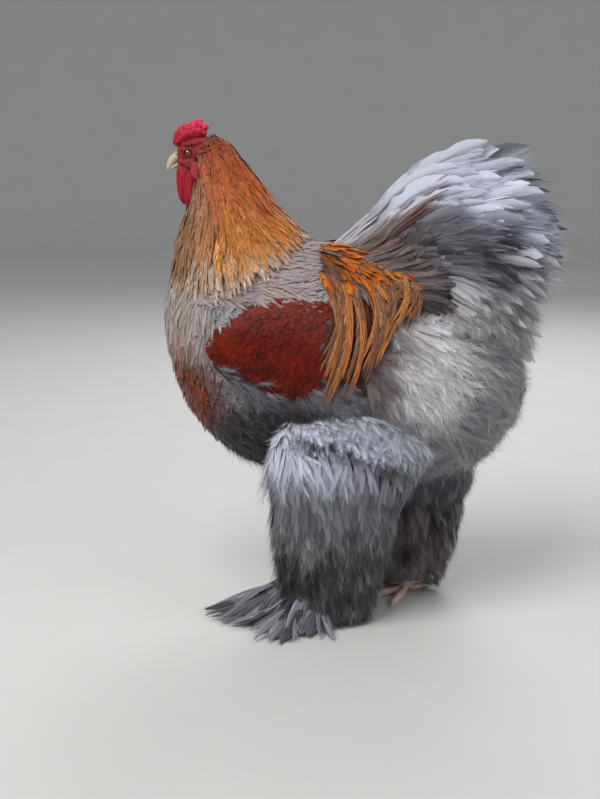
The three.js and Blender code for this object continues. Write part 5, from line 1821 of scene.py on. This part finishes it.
def foot_forms(side):
    foot = LEGS[side]["foot"]
    ankle = [(foot[0] - 6, side * foot[1], 5), (foot[0], side * foot[1], 14), (foot[0], side * foot[1], 40)]
    forms = [tube(ankle, [10, 12, 10], 24)]
    return forms + [toe_rings(side, toe) for toe in TOES.values()]


def foot_tint(points):
    patchy = np.clip(0.5 + 0.6 * ripple(points, 12, 111), 0, 1)
    colour = mixed(TOE_PINK, TOE_DARK, 0.45 * patchy)
    return mixed(colour, TOE_DARK * 0.6, smooth(3, 0, points[:, 2]) * 0.5)


def make_claws():
    for side in (LEFT, RIGHT):
        for toe_name, toe in TOES.items():
            way = toe_way(side, np.array([toe[0]]))[0]
            start = toe_place(side, toe, np.array([float(toe[1])]))[0]
            t = np.linspace(0, 1, 20)
            path = start + way * (14 * t - 1.5)[:, None]
            path[:, 2] = lerp(start[2], 1.0, t**1.8)
            thick = through([(0, 2.5), (0.4, 2.1), (0.8, 1.1), (1, 0.25)])(t)
            points, faces = closed_loft(tube(path, thick, 16))
            far = (points - start) @ way
            colour = mixed(HORN, HORN_DARK, smooth(2, 12, far) * 0.6)
            node = "claw_" + toe_name + "_" + SIDE_NAMES[side]
            smooth_piece(node + "_horn", points, faces, beak_horn, colour, [node])


# Stage
def make_stage():
    """A pale floor that bends up into a wall far behind."""
    reach, bend, turns = 6.0, 2.5, 96
    profile = [(reach / 2, 0.0), (reach, 0.0)]
    for t in np.linspace(0, math.pi / 2, 16)[1:]:
        profile.append((reach + bend * math.sin(t), bend - bend * math.cos(t)))
    profile += [(reach + bend, 4.0), (reach + bend, 6.0)]
    angle = 2 * np.pi * np.arange(turns) / turns
    rings = [np.stack([r * np.cos(angle), r * np.sin(angle), z + 0 * angle], -1) for r, z in profile]
    points = np.concatenate([[[0.0, 0, 0]], *rings])
    k = np.arange(turns)
    middle = np.stack([0 * k, 1 + k, 1 + (k + 1) % turns], -1)
    walls = grid_faces(len(rings), turns, True)[:, ::-1] + 1
    material, tree, shader = new_material("pale_floor")
    grain = noise_node(tree, object_places(tree), 6, 4.0)
    ramp = tree.nodes.new("ShaderNodeMix")
    ramp.data_type = "RGBA"
    ramp.inputs[6].default_value = (0.60, 0.595, 0.58, 1)
    ramp.inputs[7].default_value = (0.64, 0.635, 0.62, 1)
    link(tree, grain, ramp.inputs[0])
    link(tree, ramp.outputs[2], shader.inputs["Base Color"])
    settle(shader, {"Roughness": 0.85})
    floor = mesh_object("floor", points * 1000 - SHIFT, [walls, middle], material)


def area_light(name, place, target, size, power, colour):
    data = bpy.data.lights.new(name, "AREA")
    data.shape = "DISK"
    data.size = size
    data.energy = power
    data.color = colour
    lamp = bpy.data.objects.new(name, data)
    bpy.context.scene.collection.objects.link(lamp)
    lamp.location = place
    lamp.rotation_euler = (Vector(target) - Vector(place)).to_track_quat("-Z", "Y").to_euler()


def make_lights():
    area_light("key", (-1.2, -1.7, 2.9), (0, 0, 0.35), 2.0, 88, (1.0, 0.985, 0.96))
    area_light("fill", (2.4, -1.8, 1.6), (0, 0, 0.4), 2.4, 18, (0.96, 0.98, 1.0))
    area_light("rim", (0.6, 2.4, 2.2), (0, 0, 0.45), 1.8, 40, (1.0, 1.0, 1.0))
    world = bpy.data.worlds.new("studio")
    world.use_nodes = True
    settle(world.node_tree.nodes["Background"], {"Color": (0.86, 0.89, 0.94, 1), "Strength": 0.44})
    bpy.context.scene.world = world


def make_camera():
    data = bpy.data.cameras.new("camera")
    data.sensor_fit = "AUTO"
    data.sensor_width = 36
    data.lens = CAMERA["lens"]
    camera = bpy.data.objects.new("camera", data)
    bpy.context.scene.collection.objects.link(camera)
    camera.location = (np.array(CAMERA["place"]) + SHIFT) / 1000
    camera.rotation_euler = (math.radians(90 - CAMERA["down"]), 0, 0)
    bpy.context.scene.camera = camera


bpy.context.scene.view_settings.view_transform = "Standard"
body_coats()
mantle_coat()
chest_coat()
rear_fluff()
flank_fluff()
belly_fluff()
hackle_coat()
saddle_coat()
rump_coat()
tail_coat()
tail_down()
cushion_coat()
for side in (LEFT, RIGHT):
    wing_coat(side)
    thigh_coat(side)
    shank_coat(side)
make_skin()
make_eyes()
make_beak()
make_comb()
make_wattles()
make_claws()
make_stage()
make_lights()
make_camera()

bpy.context.view_layer.update()
